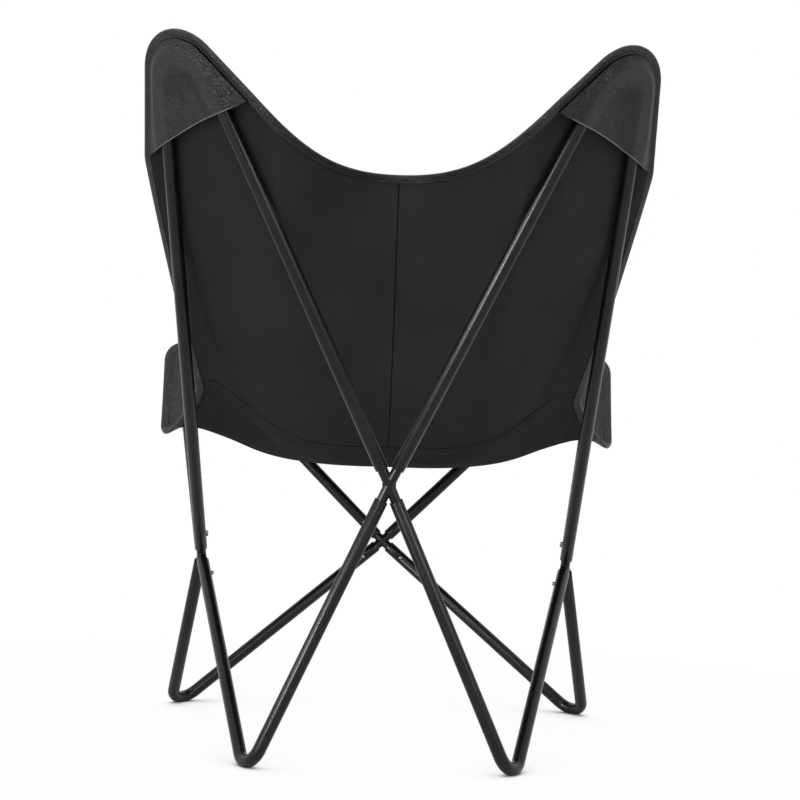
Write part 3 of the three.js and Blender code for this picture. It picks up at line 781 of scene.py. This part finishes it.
def snap_button():
    """A flange, a shank drawn up from it and a rounded head, standing on the stub's axis."""
    button = begin(
        bpy.ops.mesh.primitive_cylinder_add, "snap_button", vertices=BUTTON_SIDES,
        radius=FLANGE_RADIUS, depth=FLANGE_THICKNESS,
        location=(0, 0, (FLANGE_TOP + FLANGE_BASE) / 2),
    )
    shoulder = TUBE_RADIUS + BUTTON_PROUD - FLANGE_TOP
    open_edit(selected=False)
    select(button, "faces", lambda face: face.normal.z > FACING_UP)
    bpy.ops.mesh.inset(thickness=FLANGE_RADIUS - BUTTON_RADIUS)
    extrude((0, 0, shoulder))
    bpy.ops.mesh.bevel(offset=BUTTON_DOME, segments=6, affect="EDGES")
    close_edit()
    round_edges(button, EDGE_ROUND)
    smooth(button)
    return button


def leaf_spring():
    """A strip folded back under the button: its end is spun half round and drawn back."""
    length = SPRING_HEEL + SPRING_REACH
    strip = begin(
        bpy.ops.mesh.primitive_plane_add, "leaf_spring", (length, SPRING_WIDTH, 1.0), size=1.0,
        location=(length / 2 - SPRING_HEEL, 0, SPRING_TOP),
    )
    open_edit(selected=False)
    select(strip, "verts", lambda vertex: vertex.co.x > SPRING_REACH - FIT_GAP)
    middle = (SPRING_TOP + SPRING_BOTTOM) / 2
    bpy.ops.mesh.spin(steps=16, angle=math.pi, center=(SPRING_REACH, 0, middle), axis=(0, -1, 0))
    extrude((-length, 0, 0))
    tidy_normals()
    close_edit()
    modify(strip, "SOLIDIFY", thickness=SPRING_THICKNESS, offset=-1.0)
    round_edges(strip, EDGE_ROUND)
    smooth(strip)
    return strip


def make_buttons(tubes, plate):
    button = snap_button()
    spring = leaf_spring()
    for _, arms in tubes.values():
        for arm in arms:
            cap = copy_of(button, f"{arm.name}_snap_button", arm.place())
            finish_piece(cap, f"{arm.name}_button", "plated_steel", plate)
            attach(cap, f"{arm.name}_button")
            leaf = copy_of(spring, f"{arm.name}_leaf_spring", arm.place())
            finish_piece(leaf, f"{arm.name}_spring", "plated_steel", plate)
            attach(leaf, BODY)
            anchor = arm.at(BUTTON_FROM_CROSSING, SPRING_BOTTOM)
            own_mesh(leaf)
    discard(button)
    discard(spring)


# Outline of the sling


class Edge:
    """A line through points, read by its share of length."""

    def __init__(self, points):
        self.points = np.array(points)
        steps = np.linalg.norm(np.diff(self.points, axis=0), axis=1)
        self.lengths = np.concatenate([[0.0], np.cumsum(steps)])

    def at(self, share):
        wanted = np.clip(share, 0, 1) * self.lengths[-1]
        return np.stack([np.interp(wanted, self.lengths, line) for line in self.points.T], axis=-1)

    def distance_to(self, points):
        least = np.full(points.shape[:-1], np.inf)
        for start, end in zip(self.points[:-1], self.points[1:]):
            along = end - start
            share = np.clip((points - start) @ along / (along @ along), 0, 1)
            gap = np.linalg.norm(points - start - share[..., None] * along, axis=-1)
            least = np.minimum(least, gap)
        return least


class Corner:
    """A sling corner in its hoop's plane: u runs across to the inner leg, w out to the tip."""

    def __init__(self, route, inner_spread):
        self.route = route
        self.facing = route.plane * math.copysign(1, route.plane[2])
        self.radius = route.radius + CORNER_MARGIN
        self.inner_angle = route.start_angle - inner_spread
        self.outer_angle = route.end_angle + SIDE_EDGE_SPREAD
        self.tip = route.bend_point(0, self.radius)

    def place(self, flat, height=0.0):
        route = self.route
        point = route.centre + flat[..., :1] * route.across + flat[..., 1:2] * route.outward
        return point + np.asarray(height)[..., None] * self.facing

    def heading(self, angle, turn):
        return turn * (math.cos(angle) * self.route.across - math.sin(angle) * self.route.outward)

    def mouth_end(self, angle, turn, radius):
        """Where an edge that leaves the corner's arc at this angle reaches the pocket's mouth."""
        level = self.radius - POCKET_DEPTH
        start = vec(radius * math.sin(angle), radius * math.cos(angle))
        step = vec(turn * math.cos(angle), -turn * math.sin(angle))
        short = level + POCKET_MOUTH_SLOPE * start[0] - start[1]
        return start + short / (step[1] - POCKET_MOUTH_SLOPE * step[0]) * step

    def arc(self, start, end, radius):
        angles = np.linspace(start, end, EDGE_POINTS // 2)
        return radius * np.stack([np.sin(angles), np.cos(angles)], axis=-1)

    def run(self, inner):
        """From the tip, round the arc, to the end of the pocket on the inner or outer edge."""
        angle, turn = (self.inner_angle, 1) if inner else (self.outer_angle, -1)
        flat = [*self.arc(0, angle, self.radius), self.mouth_end(angle, turn, self.radius)]
        return list(self.place(np.array(flat)))

    def path(self, outer, inner, radius):
        """Round the corner at a radius, and straight on from both angles to the mouth."""
        ends = self.mouth_end(outer, -1, radius), self.mouth_end(inner, 1, radius)
        return Edge([ends[0], *self.arc(outer, inner, radius), ends[1]])

    def line(self, distance):
        """The outline at a distance in from the edge, from the outer to the inner mouth end."""
        return self.path(self.outer_angle, self.inner_angle, self.radius - distance)

    def tube_line(self):
        """The middle of the hoop's tube between the ends of the pocket."""
        return self.path(self.route.end_angle, self.route.start_angle, self.route.radius)

    def lift(self, distance, thickness):
        """Height of a sheet that rises over the tube, at a distance in from the sling's edge."""
        share = np.clip((distance - BINDING_WIDTH) / (CORNER_MARGIN - BINDING_WIDTH), 0, 1)
        return np.sin(math.pi / 2 * share) * (TUBE_RADIUS + SEWN_GAP + thickness / 2 + TUBE_EASE)

    def hold(self, points):
        """How firmly the hoop holds the sling: fully round its top, then less down its legs."""
        return 1 - smoothstep(np.linalg.norm(points - self.tip, axis=-1), HOLD_START, HOLD_END)

    def cleared(self, points, distance):
        """The tube keeps the sling on the sitter's side of the hoop."""
        height = (points - self.route.centre) @ self.facing
        wanted = self.hold(points) * self.lift(distance, PANEL_THICKNESS)
        held = (height + wanted + np.hypot(height - wanted, wanted * HOLD_BLEND)) / 2
        rise = np.where(self.hold(points) > 0, held - height, 0)
        return points + rise[..., None] * self.facing


def bezier(start, leaving, arriving, end):
    share = np.linspace(0, 1, EDGE_POINTS + 1)[:, None]
    rest = 1 - share
    first = rest**3 * start + 3 * rest**2 * share * leaving
    return first + 3 * rest * share**2 * arriving + share**3 * end


def sweep(start, heading, middle, arriving, middle_ease):
    """A smooth edge from the end of a pocket to the middle of that edge of the sling."""
    length = np.linalg.norm(middle - start)
    leaving = start + POCKET_EASE * length * heading
    return list(bezier(start, leaving, middle - middle_ease * length * arriving, middle)[1:])


class Sling:
    """The sling's middle surface: across from -1, right, to 1, left, and down from the top."""

    def __init__(self, tubes):
        self.corners = {}
        for side in SIDES:
            for end, spread in [("back", TOP_EDGE_SPREAD), ("front", FRONT_EDGE_SPREAD)]:
                route = tubes[f"{end}_{side}_hoop"][0]
                self.corners[f"{end}_{side}"] = Corner(route, spread)
        self.back, self.front = self.corners["back_left"], self.corners["front_left"]
        self.top_edge = self.middle_edge(self.back, vec(*TOP_EDGE_MIDDLE))
        self.front_edge = self.middle_edge(self.front, vec(*FRONT_EDGE_MIDDLE))
        forward = vec(0, -math.cos(WAIST_FALL), -math.sin(WAIST_FALL))
        self.side_edge = Edge([
            *self.side_half(self.back, forward),
            *self.side_half(self.front, -forward)[-2::-1],
        ])
        handles = (TOP_EDGE_MIDDLE, BACK_HANG, SEAT_HANG, FRONT_EDGE_MIDDLE)
        self.centre_line = Edge(bezier(*(vec(*place) for place in handles)))

    def middle_edge(self, corner, middle):
        run = corner.run(inner=True)
        heading = corner.heading(corner.inner_angle, 1)
        return Edge([*run, *sweep(run[-1], heading, middle, vec(-1, 0, 0), MIDDLE_EASE)])

    def side_half(self, corner, arriving):
        """Past the pocket the side edge leans in towards the sitter, off the plane of the hoop."""
        run = corner.run(inner=False)
        straight = corner.heading(corner.outer_angle, -1)
        heading = math.cos(SIDE_EDGE_LEAN) * straight + math.sin(SIDE_EDGE_LEAN) * corner.facing
        return [*run, *sweep(run[-1], heading, vec(*WAIST), arriving, WAIST_EASE)]

    def blended(self, across, down):
        """A patch between the four edges."""
        share = ((1 + across) / 2)[..., None]
        fall = down[..., None]
        mirror = vec(-1, 1, 1)
        toward = np.where(across[..., None] < 0, mirror, 1.0)
        top = self.top_edge.at(1 - np.abs(across)) * toward
        front = self.front_edge.at(1 - np.abs(across)) * toward
        left = self.side_edge.at(down)
        point = top * (1 - fall) + front * fall + left * share + left * mirror * (1 - share)
        for tip, weight in [(self.back.tip, 1 - fall), (self.front.tip, fall)]:
            point = point - weight * (tip * share + tip * mirror * (1 - share))
        return point

    def edge_distance(self, points):
        folded = points.copy()
        folded[..., 0] = np.abs(folded[..., 0])
        edges = [self.top_edge, self.front_edge, self.side_edge]
        return np.minimum.reduce([edge.distance_to(folded) for edge in edges])

    def points(self, across, down):
        hang = self.centre_line.at(down) - self.blended(np.zeros_like(across), down)
        fullness = 1 - np.abs(across) ** HANG_FULLNESS
        point = self.blended(across, down) + fullness[..., None] * hang
        distance = self.edge_distance(point)
        for corner in self.corners.values():
            point = corner.cleared(point, distance)
        return point


def crowded(count):
    """Shares from 0 to 1 that crowd towards both ends."""
    share = np.linspace(0, 1, count + 1)
    return share - EDGE_CROWDING * np.sin(2 * math.pi * share) / (2 * math.pi)


def sling_grid(sling):
    """Points of the whole sling by row and column. One row follows the seam under the seat."""
    half = crowded(HALF_COLUMNS)
    across = np.concatenate([half - 1, half[1:]])
    seam = SEAM_AT_CENTRE + (SEAM_AT_EDGE - SEAM_AT_CENTRE) * across**2
    back = crowded(BACK_ROWS)[:, None] * seam
    seat = seam + crowded(SEAT_ROWS)[1:, None] * (1 - seam)
    down = np.concatenate([back, seat])
    grid = sling.points(np.broadcast_to(across, down.shape), down)
    grid[BACK_ROWS:] = creased(grid[BACK_ROWS:], across)
    return grid


def creased(seat, across):
    """The seat below its seam: a fold along the seam, then long slack creases beside it."""
    below = flat_places(seat)[..., 1]
    fade = 1 - smoothstep(np.abs(across), CREASE_FADE, 1.0)
    rise, fall = smoothstep(below, 0, FOLD_RISE), smoothstep(below, FOLD_WIDTH, FOLD_END)
    fold = FOLD_HEIGHT * rise * (1 - fall)
    ending = smoothstep(below, CREASE_REACH / 2, CREASE_REACH)
    slack = smoothstep(below, 0, FOLD_WIDTH) * (1 - ending)
    waves = np.zeros_like(below)
    for row, column in np.ndindex(*below.shape):
        along, off = across[column] / CREASE_LENGTH, below[row, column] / CREASE_WIDTH
        spot = Vector((along, off, CREASE_SLICE))
        fine = noise.noise(FINE_CREASE_SCALE * spot)
        waves[row, column] = noise.noise(spot) + FINE_CREASE_SHARE * fine
    height = fade * (fold + CREASE_HEIGHT * slack * waves)
    return seat - height[..., None] * grid_normals(seat)


def grid_normals(grid):
    """Normals of a grid on its sitter's side."""
    padded = np.pad(grid, ((1, 1), (1, 1), (0, 0)), mode="edge")
    fall = padded[2:, 1:-1] - padded[:-2, 1:-1]
    run = padded[1:-1, 2:] - padded[1:-1, :-2]
    return unit(np.cross(fall, run))


# Sewn pieces


def flat_places(grid):
    """Distances over the cloth from its middle column and its first row."""
    run = np.linalg.norm(np.diff(grid, axis=1), axis=-1)
    across = np.pad(np.cumsum(run, axis=1), ((0, 0), (1, 0)))
    across -= across[:, across.shape[1] // 2][:, None]
    fall = np.linalg.norm(np.diff(grid, axis=0), axis=-1)
    down = np.pad(np.cumsum(fall, axis=0), ((1, 0), (0, 0)))
    return np.stack([across, down], axis=-1)


def grid_area(grid):
    one = grid[1:, 1:] - grid[:-1, :-1]
    other = grid[1:, :-1] - grid[:-1, 1:]
    return float(np.linalg.norm(np.cross(one, other), axis=-1).sum() / 2)


def mesh_piece(name, vertices, faces, slots, flat):
    """A mesh with a finish for each face and a flat map for its cloth."""
    mesh = bpy.data.meshes.new(name)
    mesh.from_pydata(vertices.tolist(), [], faces.tolist())
    mesh.polygons.foreach_set("material_index", slots)
    layer = mesh.uv_layers.new(name="flat")
    layer.data.foreach_set("uv", flat[faces.ravel()].ravel())
    mesh.validate()
    return add_object(name, mesh)


def cloth_sheet(name, grid, normals, half, bare_rows=0):
    """A closed sheet: finish 0 on the sitter's side, 1 outside, and 2 on the bare last rows."""
    rows, columns = grid.shape[:2]
    reach = half[..., None] * normals
    vertices = np.concatenate([(grid + reach).reshape(-1, 3), (grid - reach).reshape(-1, 3)])
    flat = np.tile(flat_places(grid).reshape(-1, 2), (2, 1))
    index = np.arange(rows * columns).reshape(rows, columns)
    corners = [index[:-1, :-1], index[1:, :-1], index[1:, 1:], index[:-1, 1:]]
    upper = np.stack(corners, axis=-1).reshape(-1, 4)
    under = upper[:, ::-1] + rows * columns
    border = np.concatenate([index[0, :-1], index[:-1, -1], index[-1, :0:-1], index[:0:-1, 0]])
    after = np.roll(border, -1)
    rim = np.stack([border, after, after + rows * columns, border + rows * columns], axis=-1)
    slots = np.repeat([0, 1, 1], [len(upper), len(under), len(rim)])
    if bare_rows:
        slots[:2 * len(upper)][-bare_rows * (columns - 1):] = 2
        slots[2 * len(upper) + columns + rows - 2:][:columns - 1] = 2
    piece = mesh_piece(name, vertices, np.concatenate([upper, under, rim]), slots, flat)
    # Painted seam shade: 1 where the sheet thins towards a rounded sewn edge, so that the lining
    # paints shade there.
    painted_seam_shade = piece.data.attributes.new("painted_seam_shade", "FLOAT", "POINT")
    painted_seam_shade.data.foreach_set("value", np.tile(1 - half.ravel() / half.max(), 2))
    return piece


def rolled(lines, half):
    """Round the last line of a grid: extra lines close to it, thinner towards its edge."""
    steps = SEAM_ROUND * vec(*SEAM_STEPS)
    edge, before = lines[-1], lines[-2]
    inward = unit(before - edge)
    extra = np.stack([edge + (step + SEAM_GAP) * inward for step in steps])
    share = np.sqrt(1 - (1 - steps / SEAM_ROUND) ** 2)
    thick = half * (SEAM_THIN + (1 - SEAM_THIN) * share)
    heights = np.concatenate([np.full(len(lines) - 1, half), thick])
    return np.concatenate([lines[:-1], extra]), heights


def turned(table, axis, flip):
    """A table by lines, with the edge that is sewn as the last of them."""
    return np.moveaxis(table, axis, 0)[::flip]


def grown(table, count):
    """A table whose last line is repeated until it has this many."""
    return np.concatenate([table, np.repeat(table[-1:], count - len(table), axis=0)])


def sewn_panel(name, grid, normals, sewn_rows, sewn_columns):
    """A panel whose sewn edges are rounded: rows (first, last) and columns (first, last)."""
    half = np.full(grid.shape[:2], PANEL_THICKNESS / 2)
    for axis, sewn in enumerate((sewn_rows, sewn_columns)):
        for flip in [step for step, wanted in zip((-1, 1), sewn) if wanted]:
            lines, heights = rolled(turned(grid, axis, flip), PANEL_THICKNESS / 2)
            faced = grown(turned(normals, axis, flip), len(lines))
            thick = np.minimum(grown(turned(half, axis, flip), len(lines)), heights[:, None])
            tables = (lines, faced, thick)
            grid, normals, half = (np.moveaxis(table[::flip], 0, axis) for table in tables)
    return cloth_sheet(name, grid, normals, half)


def declare_cloth(grid):
    """Works out a sheet's runs over the cloth and its area, but keeps and returns none of them."""
    flat = flat_places(grid)
    grid_area(grid)


def make_panels(grid, finishes):
    normals = grid_normals(grid)
    back, seat = slice(0, BACK_ROWS + 1), slice(BACK_ROWS, None)
    right, left = slice(0, HALF_COLUMNS + 1), slice(HALF_COLUMNS, None)
    cuts = {
        "back_panel_right": (back, right, (False, True), (False, True)),
        "back_panel_left": (back, left, (False, True), (True, False)),
        "seat_panel": (seat, slice(None), (True, False), (False, False)),
    }
    for node, (rows, columns, sewn_rows, sewn_columns) in cuts.items():
        cut = grid[rows, columns]
        panel = sewn_panel(f"{node}_cloth", cut, normals[rows, columns], sewn_rows, sewn_columns)
        smooth(panel, CLOTH_SMOOTH)
        finish_piece(panel, node, "lining", *finishes)
        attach(panel, BODY)
        declare_cloth(cut)


def border_lines(grid):
    """For each point round the sling's border, the line of points leading in, then the point."""
    reach = BORDER_REACH
    top = grid[1:reach, :-1].swapaxes(0, 1), grid[0, :-1]
    left = grid[:-1, -2:-reach - 1:-1], grid[:-1, -1]
    front = grid[-2:-reach - 1:-1, :0:-1].swapaxes(0, 1), grid[-1, :0:-1]
    right = grid[:0:-1, 1:reach], grid[:0:-1, 0]
    return [np.concatenate(parts) for parts in zip(top, left, front, right)]


class Border:
    """The sling's border: its points, and directions along it, into the cloth and off its face."""

    def __init__(self, grid):
        lines, self.points = border_lines(grid)
        self.along = unit(np.roll(self.points, -1, axis=0) - np.roll(self.points, 1, axis=0))
        offset = lines - self.points[:, None]
        offset = offset - (offset @ self.along[..., None]) * self.along[:, None]
        deep = np.linalg.norm(offset, axis=-1) >= BINDING_WIDTH
        inward = unit(offset[np.arange(len(lines)), np.argmax(deep, axis=1)])
        inward = sum(np.roll(inward, step, axis=0) for step in range(-BORDER_EASE, BORDER_EASE + 1))
        inward = inward - (inward * self.along).sum(axis=-1, keepdims=True) * self.along
        self.inward = unit(inward)
        self.normal = np.cross(self.inward, self.along)

    def line(self, distance, height):
        return self.points + distance * self.inward + height * self.normal


def binding_section():
    """The folded strip's section: over one face, round its nose, over the other and back inside."""
    turns = [math.radians(angle) for angle in NOSE_ANGLES]
    nose = [(-NOSE_REACH * math.sin(turn), NOSE_HEIGHT * math.cos(turn)) for turn in turns]
    face = [*BINDING_FACE, *nose]
    other = [(distance, -height) for distance, height in face[::-1]]
    return [*face, (-NOSE_REACH, 0.0), *other, *BINDING_INSIDE]


def make_binding(border, finish, thread):
    """A strip of leather folded over the whole edge of the sling and sewn through."""
    section = binding_section()
    rings = np.stack([border.line(distance, height) for distance, height in section], axis=1)
    count, sides = rings.shape[:2]
    index = np.arange(count * sides).reshape(count, sides)
    after, beside = np.roll(index, -1, axis=0), np.roll(index, -1, axis=1)
    faces = np.stack([index, after, np.roll(after, -1, axis=1), beside], axis=-1).reshape(-1, 4)
    run = Edge(border.points).lengths
    around = np.cumsum(np.hypot(*np.diff(np.array(section + section[:1]).T)))
    flat = np.stack(np.broadcast_arrays(around[None, :], run[:, None]), axis=-1).reshape(-1, 2)
    slots = np.zeros(len(faces), int)
    strip = mesh_piece("edge_binding_strip", rings.reshape(-1, 3), faces, slots, flat)
    smooth(strip, CLOTH_SMOOTH)
    finish_piece(strip, "edge_binding", "leather", finish)
    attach(strip, BODY)
    stitching = stitches("binding_stitching", border, thread)


def stitches(name, border, thread):
    """Even stitches, each a long bead, round both faces of the binding, as one piece."""
    bead = begin(
        bpy.ops.mesh.primitive_uv_sphere_add, "stitch",
        (STITCH_LENGTH / 2, STITCH_WIDTH / 2, STITCH_WIDTH / 2),
        segments=8, ring_count=5, radius=1.0,
    )
    shape = np.array([vertex.co for vertex in bead.data.vertices])
    loops = [list(face.vertices) for face in bead.data.polygons]
    discard(bead)
    vertices, faces = [], []
    for side in (1, -1):
        open_rows = (border.line(STITCH_INSET, side * STITCH_HEIGHT), side * border.normal)
        points, off = (np.concatenate([row, row[:1]]) for row in open_rows)
        line = Edge(points)
        count = int(line.lengths[-1] / STITCH_PITCH)
        share = (np.arange(count) + 0.5) / count
        past = np.searchsorted(line.lengths, share * line.lengths[-1])
        nearest = np.clip(past, 1, len(points) - 1)
        along = unit(points[nearest] - points[nearest - 1])
        up = unit(off[nearest])
        turn = np.stack([along, np.cross(up, along), up], axis=1)
        for place, matrix in zip(line.at(share), turn):
            base = len(vertices) * len(shape)
            vertices.append(place + shape @ matrix)
            faces.extend([[base + corner for corner in loop] for loop in loops])
    mesh = bpy.data.meshes.new(name)
    mesh.from_pydata(np.concatenate(vertices).tolist(), [], faces)
    mesh.materials.append(thread)
    piece = add_object(name, mesh)
    smooth(piece, STITCH_SMOOTH)
    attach(piece, BODY)
    return piece


def pocket_grid(corner):
    """A pocket from the edge sewn beside the binding, over the tube, to its open mouth."""
    rim, rise = corner.line(POCKET_INSET), corner.line(CORNER_MARGIN - TUBE_RADIUS)
    share = np.linspace(0, 1, POCKET_COLUMNS + 1)
    start, middle = rim.at(share), rise.at(share)
    chord = middle[:1] + share[:, None] * (middle[-1:] - middle[:1])
    chord[:, 1] += MOUTH_CURVE * np.sin(math.pi * share)
    rows = np.linspace(0, 1, POCKET_ROWS + 1)[:, None, None]
    first = np.clip(rows / POCKET_RIM_SHARE, 0, 1)
    later = np.clip((rows - POCKET_RIM_SHARE) / (1 - POCKET_RIM_SHARE), 0, 1) ** POCKET_CROWDING
    flat = start + (middle - start) * first + (chord - middle) * later
    distance = corner.line(0.0).distance_to(flat)
    low = PANEL_THICKNESS / 2 + POCKET_THICKNESS / 2 + SEWN_GAP / 2
    full = TUBE_RADIUS + SEWN_GAP + POCKET_THICKNESS / 2 + TUBE_EASE / 2
    climb = np.sin(math.pi / 2 * np.clip((distance - POCKET_INSET) / POCKET_CLIMB, 0, 1))
    beside = corner.tube_line().distance_to(flat)
    loose = smoothstep(beside, TUBE_RADIUS, TUBE_RADIUS + POCKET_SAG_REACH)
    height = low + (full - low - POCKET_SAG * loose) * climb
    place = corner.place(flat, -height)
    crumple = np.array([[pocket_crease(point) for point in line] for line in place])
    slack = CREASE_OVER_TUBE + (1 - CREASE_OVER_TUBE) * loose
    fade = smoothstep(distance, POCKET_INSET, CORNER_MARGIN) * slack
    return corner.place(flat, -height - fade * crumple)


def pocket_crease(point):
    spot = Vector(point)
    broad = noise.noise(spot * WRINKLE_SCALE)
    fine = noise.noise(spot * FINE_WRINKLE_SCALE + Vector(FINE_WRINKLE_SHIFT))
    return WRINKLE_HEIGHT * broad + FINE_WRINKLE_HEIGHT * fine


def make_pockets(sling, finishes):
    for name, corner in sling.corners.items():
        grid = pocket_grid(corner)
        normals = grid_normals(grid)
        if (normals @ corner.facing).mean() < 0:
            grid = grid[:, ::-1]
            normals = grid_normals(grid)
        normals[:, [0, -1]] = corner.facing
        lines, heights = rolled(grid, POCKET_THICKNESS / 2)
        normals = grown(normals, len(lines))
        half = np.broadcast_to(heights[:, None], lines.shape[:2])
        pocket = cloth_sheet(f"{name}_pocket_leather", lines, normals, half, MOUTH_BARE_ROWS)
        smooth(pocket, CLOTH_SMOOTH)
        finish_piece(pocket, f"{name}_pocket", "leather", *finishes)
        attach(pocket, BODY)
        declare_cloth(grid)


# Camera, floor and light


def photo_camera():
    data = bpy.data.cameras.new("camera")
    data.sensor_width = SENSOR_WIDTH
    data.lens = FOCAL_PIXELS / IMAGE_PIXELS * SENSOR_WIDTH
    ahead = vec(
        math.sin(CAMERA_YAW) * math.cos(CAMERA_PITCH),
        -math.cos(CAMERA_YAW) * math.cos(CAMERA_PITCH),
        -math.sin(CAMERA_PITCH),
    )
    level = vec(-math.cos(CAMERA_YAW), -math.sin(CAMERA_YAW), 0)
    rise = np.cross(level, ahead)
    right = math.cos(CAMERA_ROLL) * level + math.sin(CAMERA_ROLL) * rise
    up = -math.sin(CAMERA_ROLL) * level + math.cos(CAMERA_ROLL) * rise
    camera = add_object("camera", data)
    turn = Matrix(np.column_stack([right, up, -ahead]).tolist()).to_4x4()
    camera.matrix_world = Matrix.Translation(CAMERA_PLACE) @ turn
    bpy.context.scene.camera = camera


def seen(wire):
    """1 for what the camera sees, straight, reflected or through glass, and 0 for soft light."""
    path = wire.node("LightPath", output="Is Camera Ray")
    bent = path.out("Is Glossy Ray").math("MAXIMUM", path.out("Is Transmission Ray"))
    return path.math("MAXIMUM", bent)


def white_world():
    scene = bpy.context.scene
    scene.view_settings.view_transform = "Standard"
    world = bpy.data.worlds.new("studio")
    world.use_nodes = True
    world.node_tree.nodes.clear()
    wire = Wire(world.node_tree)
    strength = SOFT_LIGHT + (1 - SOFT_LIGHT) * seen(wire)
    light = wire.node("Background", {"Color": WHITE, "Strength": strength})
    wire.node("OutputWorld", {"Surface": light})
    scene.world = world


def paper_floor():
    floor = begin(bpy.ops.mesh.primitive_plane_add, "floor", size=FLOOR_SIZE)
    material, place = new_finish("floor")
    radius = place.node("VectorMath", {0: place}, "Value", operation="LENGTH")
    open_sky = place.node("AmbientOcclusion", {"Distance": SHADOW_REACH}, "AO")
    near = NEAR_WHITE * open_sky.ramp(*SHADOW_RANGE)
    lit = radius.ramp(*FLOOR_FADE).math("MAXIMUM", near)
    paper = place.node("BsdfDiffuse", {"Color": PAPER})
    white = place.node("Emission", {"Color": WHITE, "Strength": 1.0})
    glow = place.node("MixShader", {0: seen(place) * lit, 1: paper, 2: white})
    place.node("OutputMaterial", {"Surface": glow})
    floor.data.materials.append(material)


def lamps():
    for name, (place, size, power) in LAMPS.items():
        data = bpy.data.lights.new(name, "AREA")
        data.shape = "RECTANGLE"
        data.size, data.size_y = size
        data.energy = power
        lamp = add_object(name, data)
        aim = Vector(LAMP_AIM) - Vector(place)
        turn = aim.to_track_quat("-Z", "Y").to_matrix().to_4x4()
        lamp.matrix_world = Matrix.Translation(place) @ turn
        lamp.visible_diffuse = not name.endswith("glint")


def main():
    photo_camera()
    white_world()
    paper_floor()
    lamps()
    crosses, tubes = lay_out_frame()
    paint = powder_coat()
    plate = plated_steel()
    make_tubes(tubes, paint)
    make_crosses(crosses, paint)
    make_buttons(tubes, plate)
    lining = lining_cloth()
    hide = oiled_leather()
    edge = cut_edge()
    sling = Sling(tubes)
    grid = sling_grid(sling)
    make_panels(grid, (hide, lining))
    make_pockets(sling, (lining, hide, edge))
    make_binding(Border(grid), hide, sewing_thread())


main()
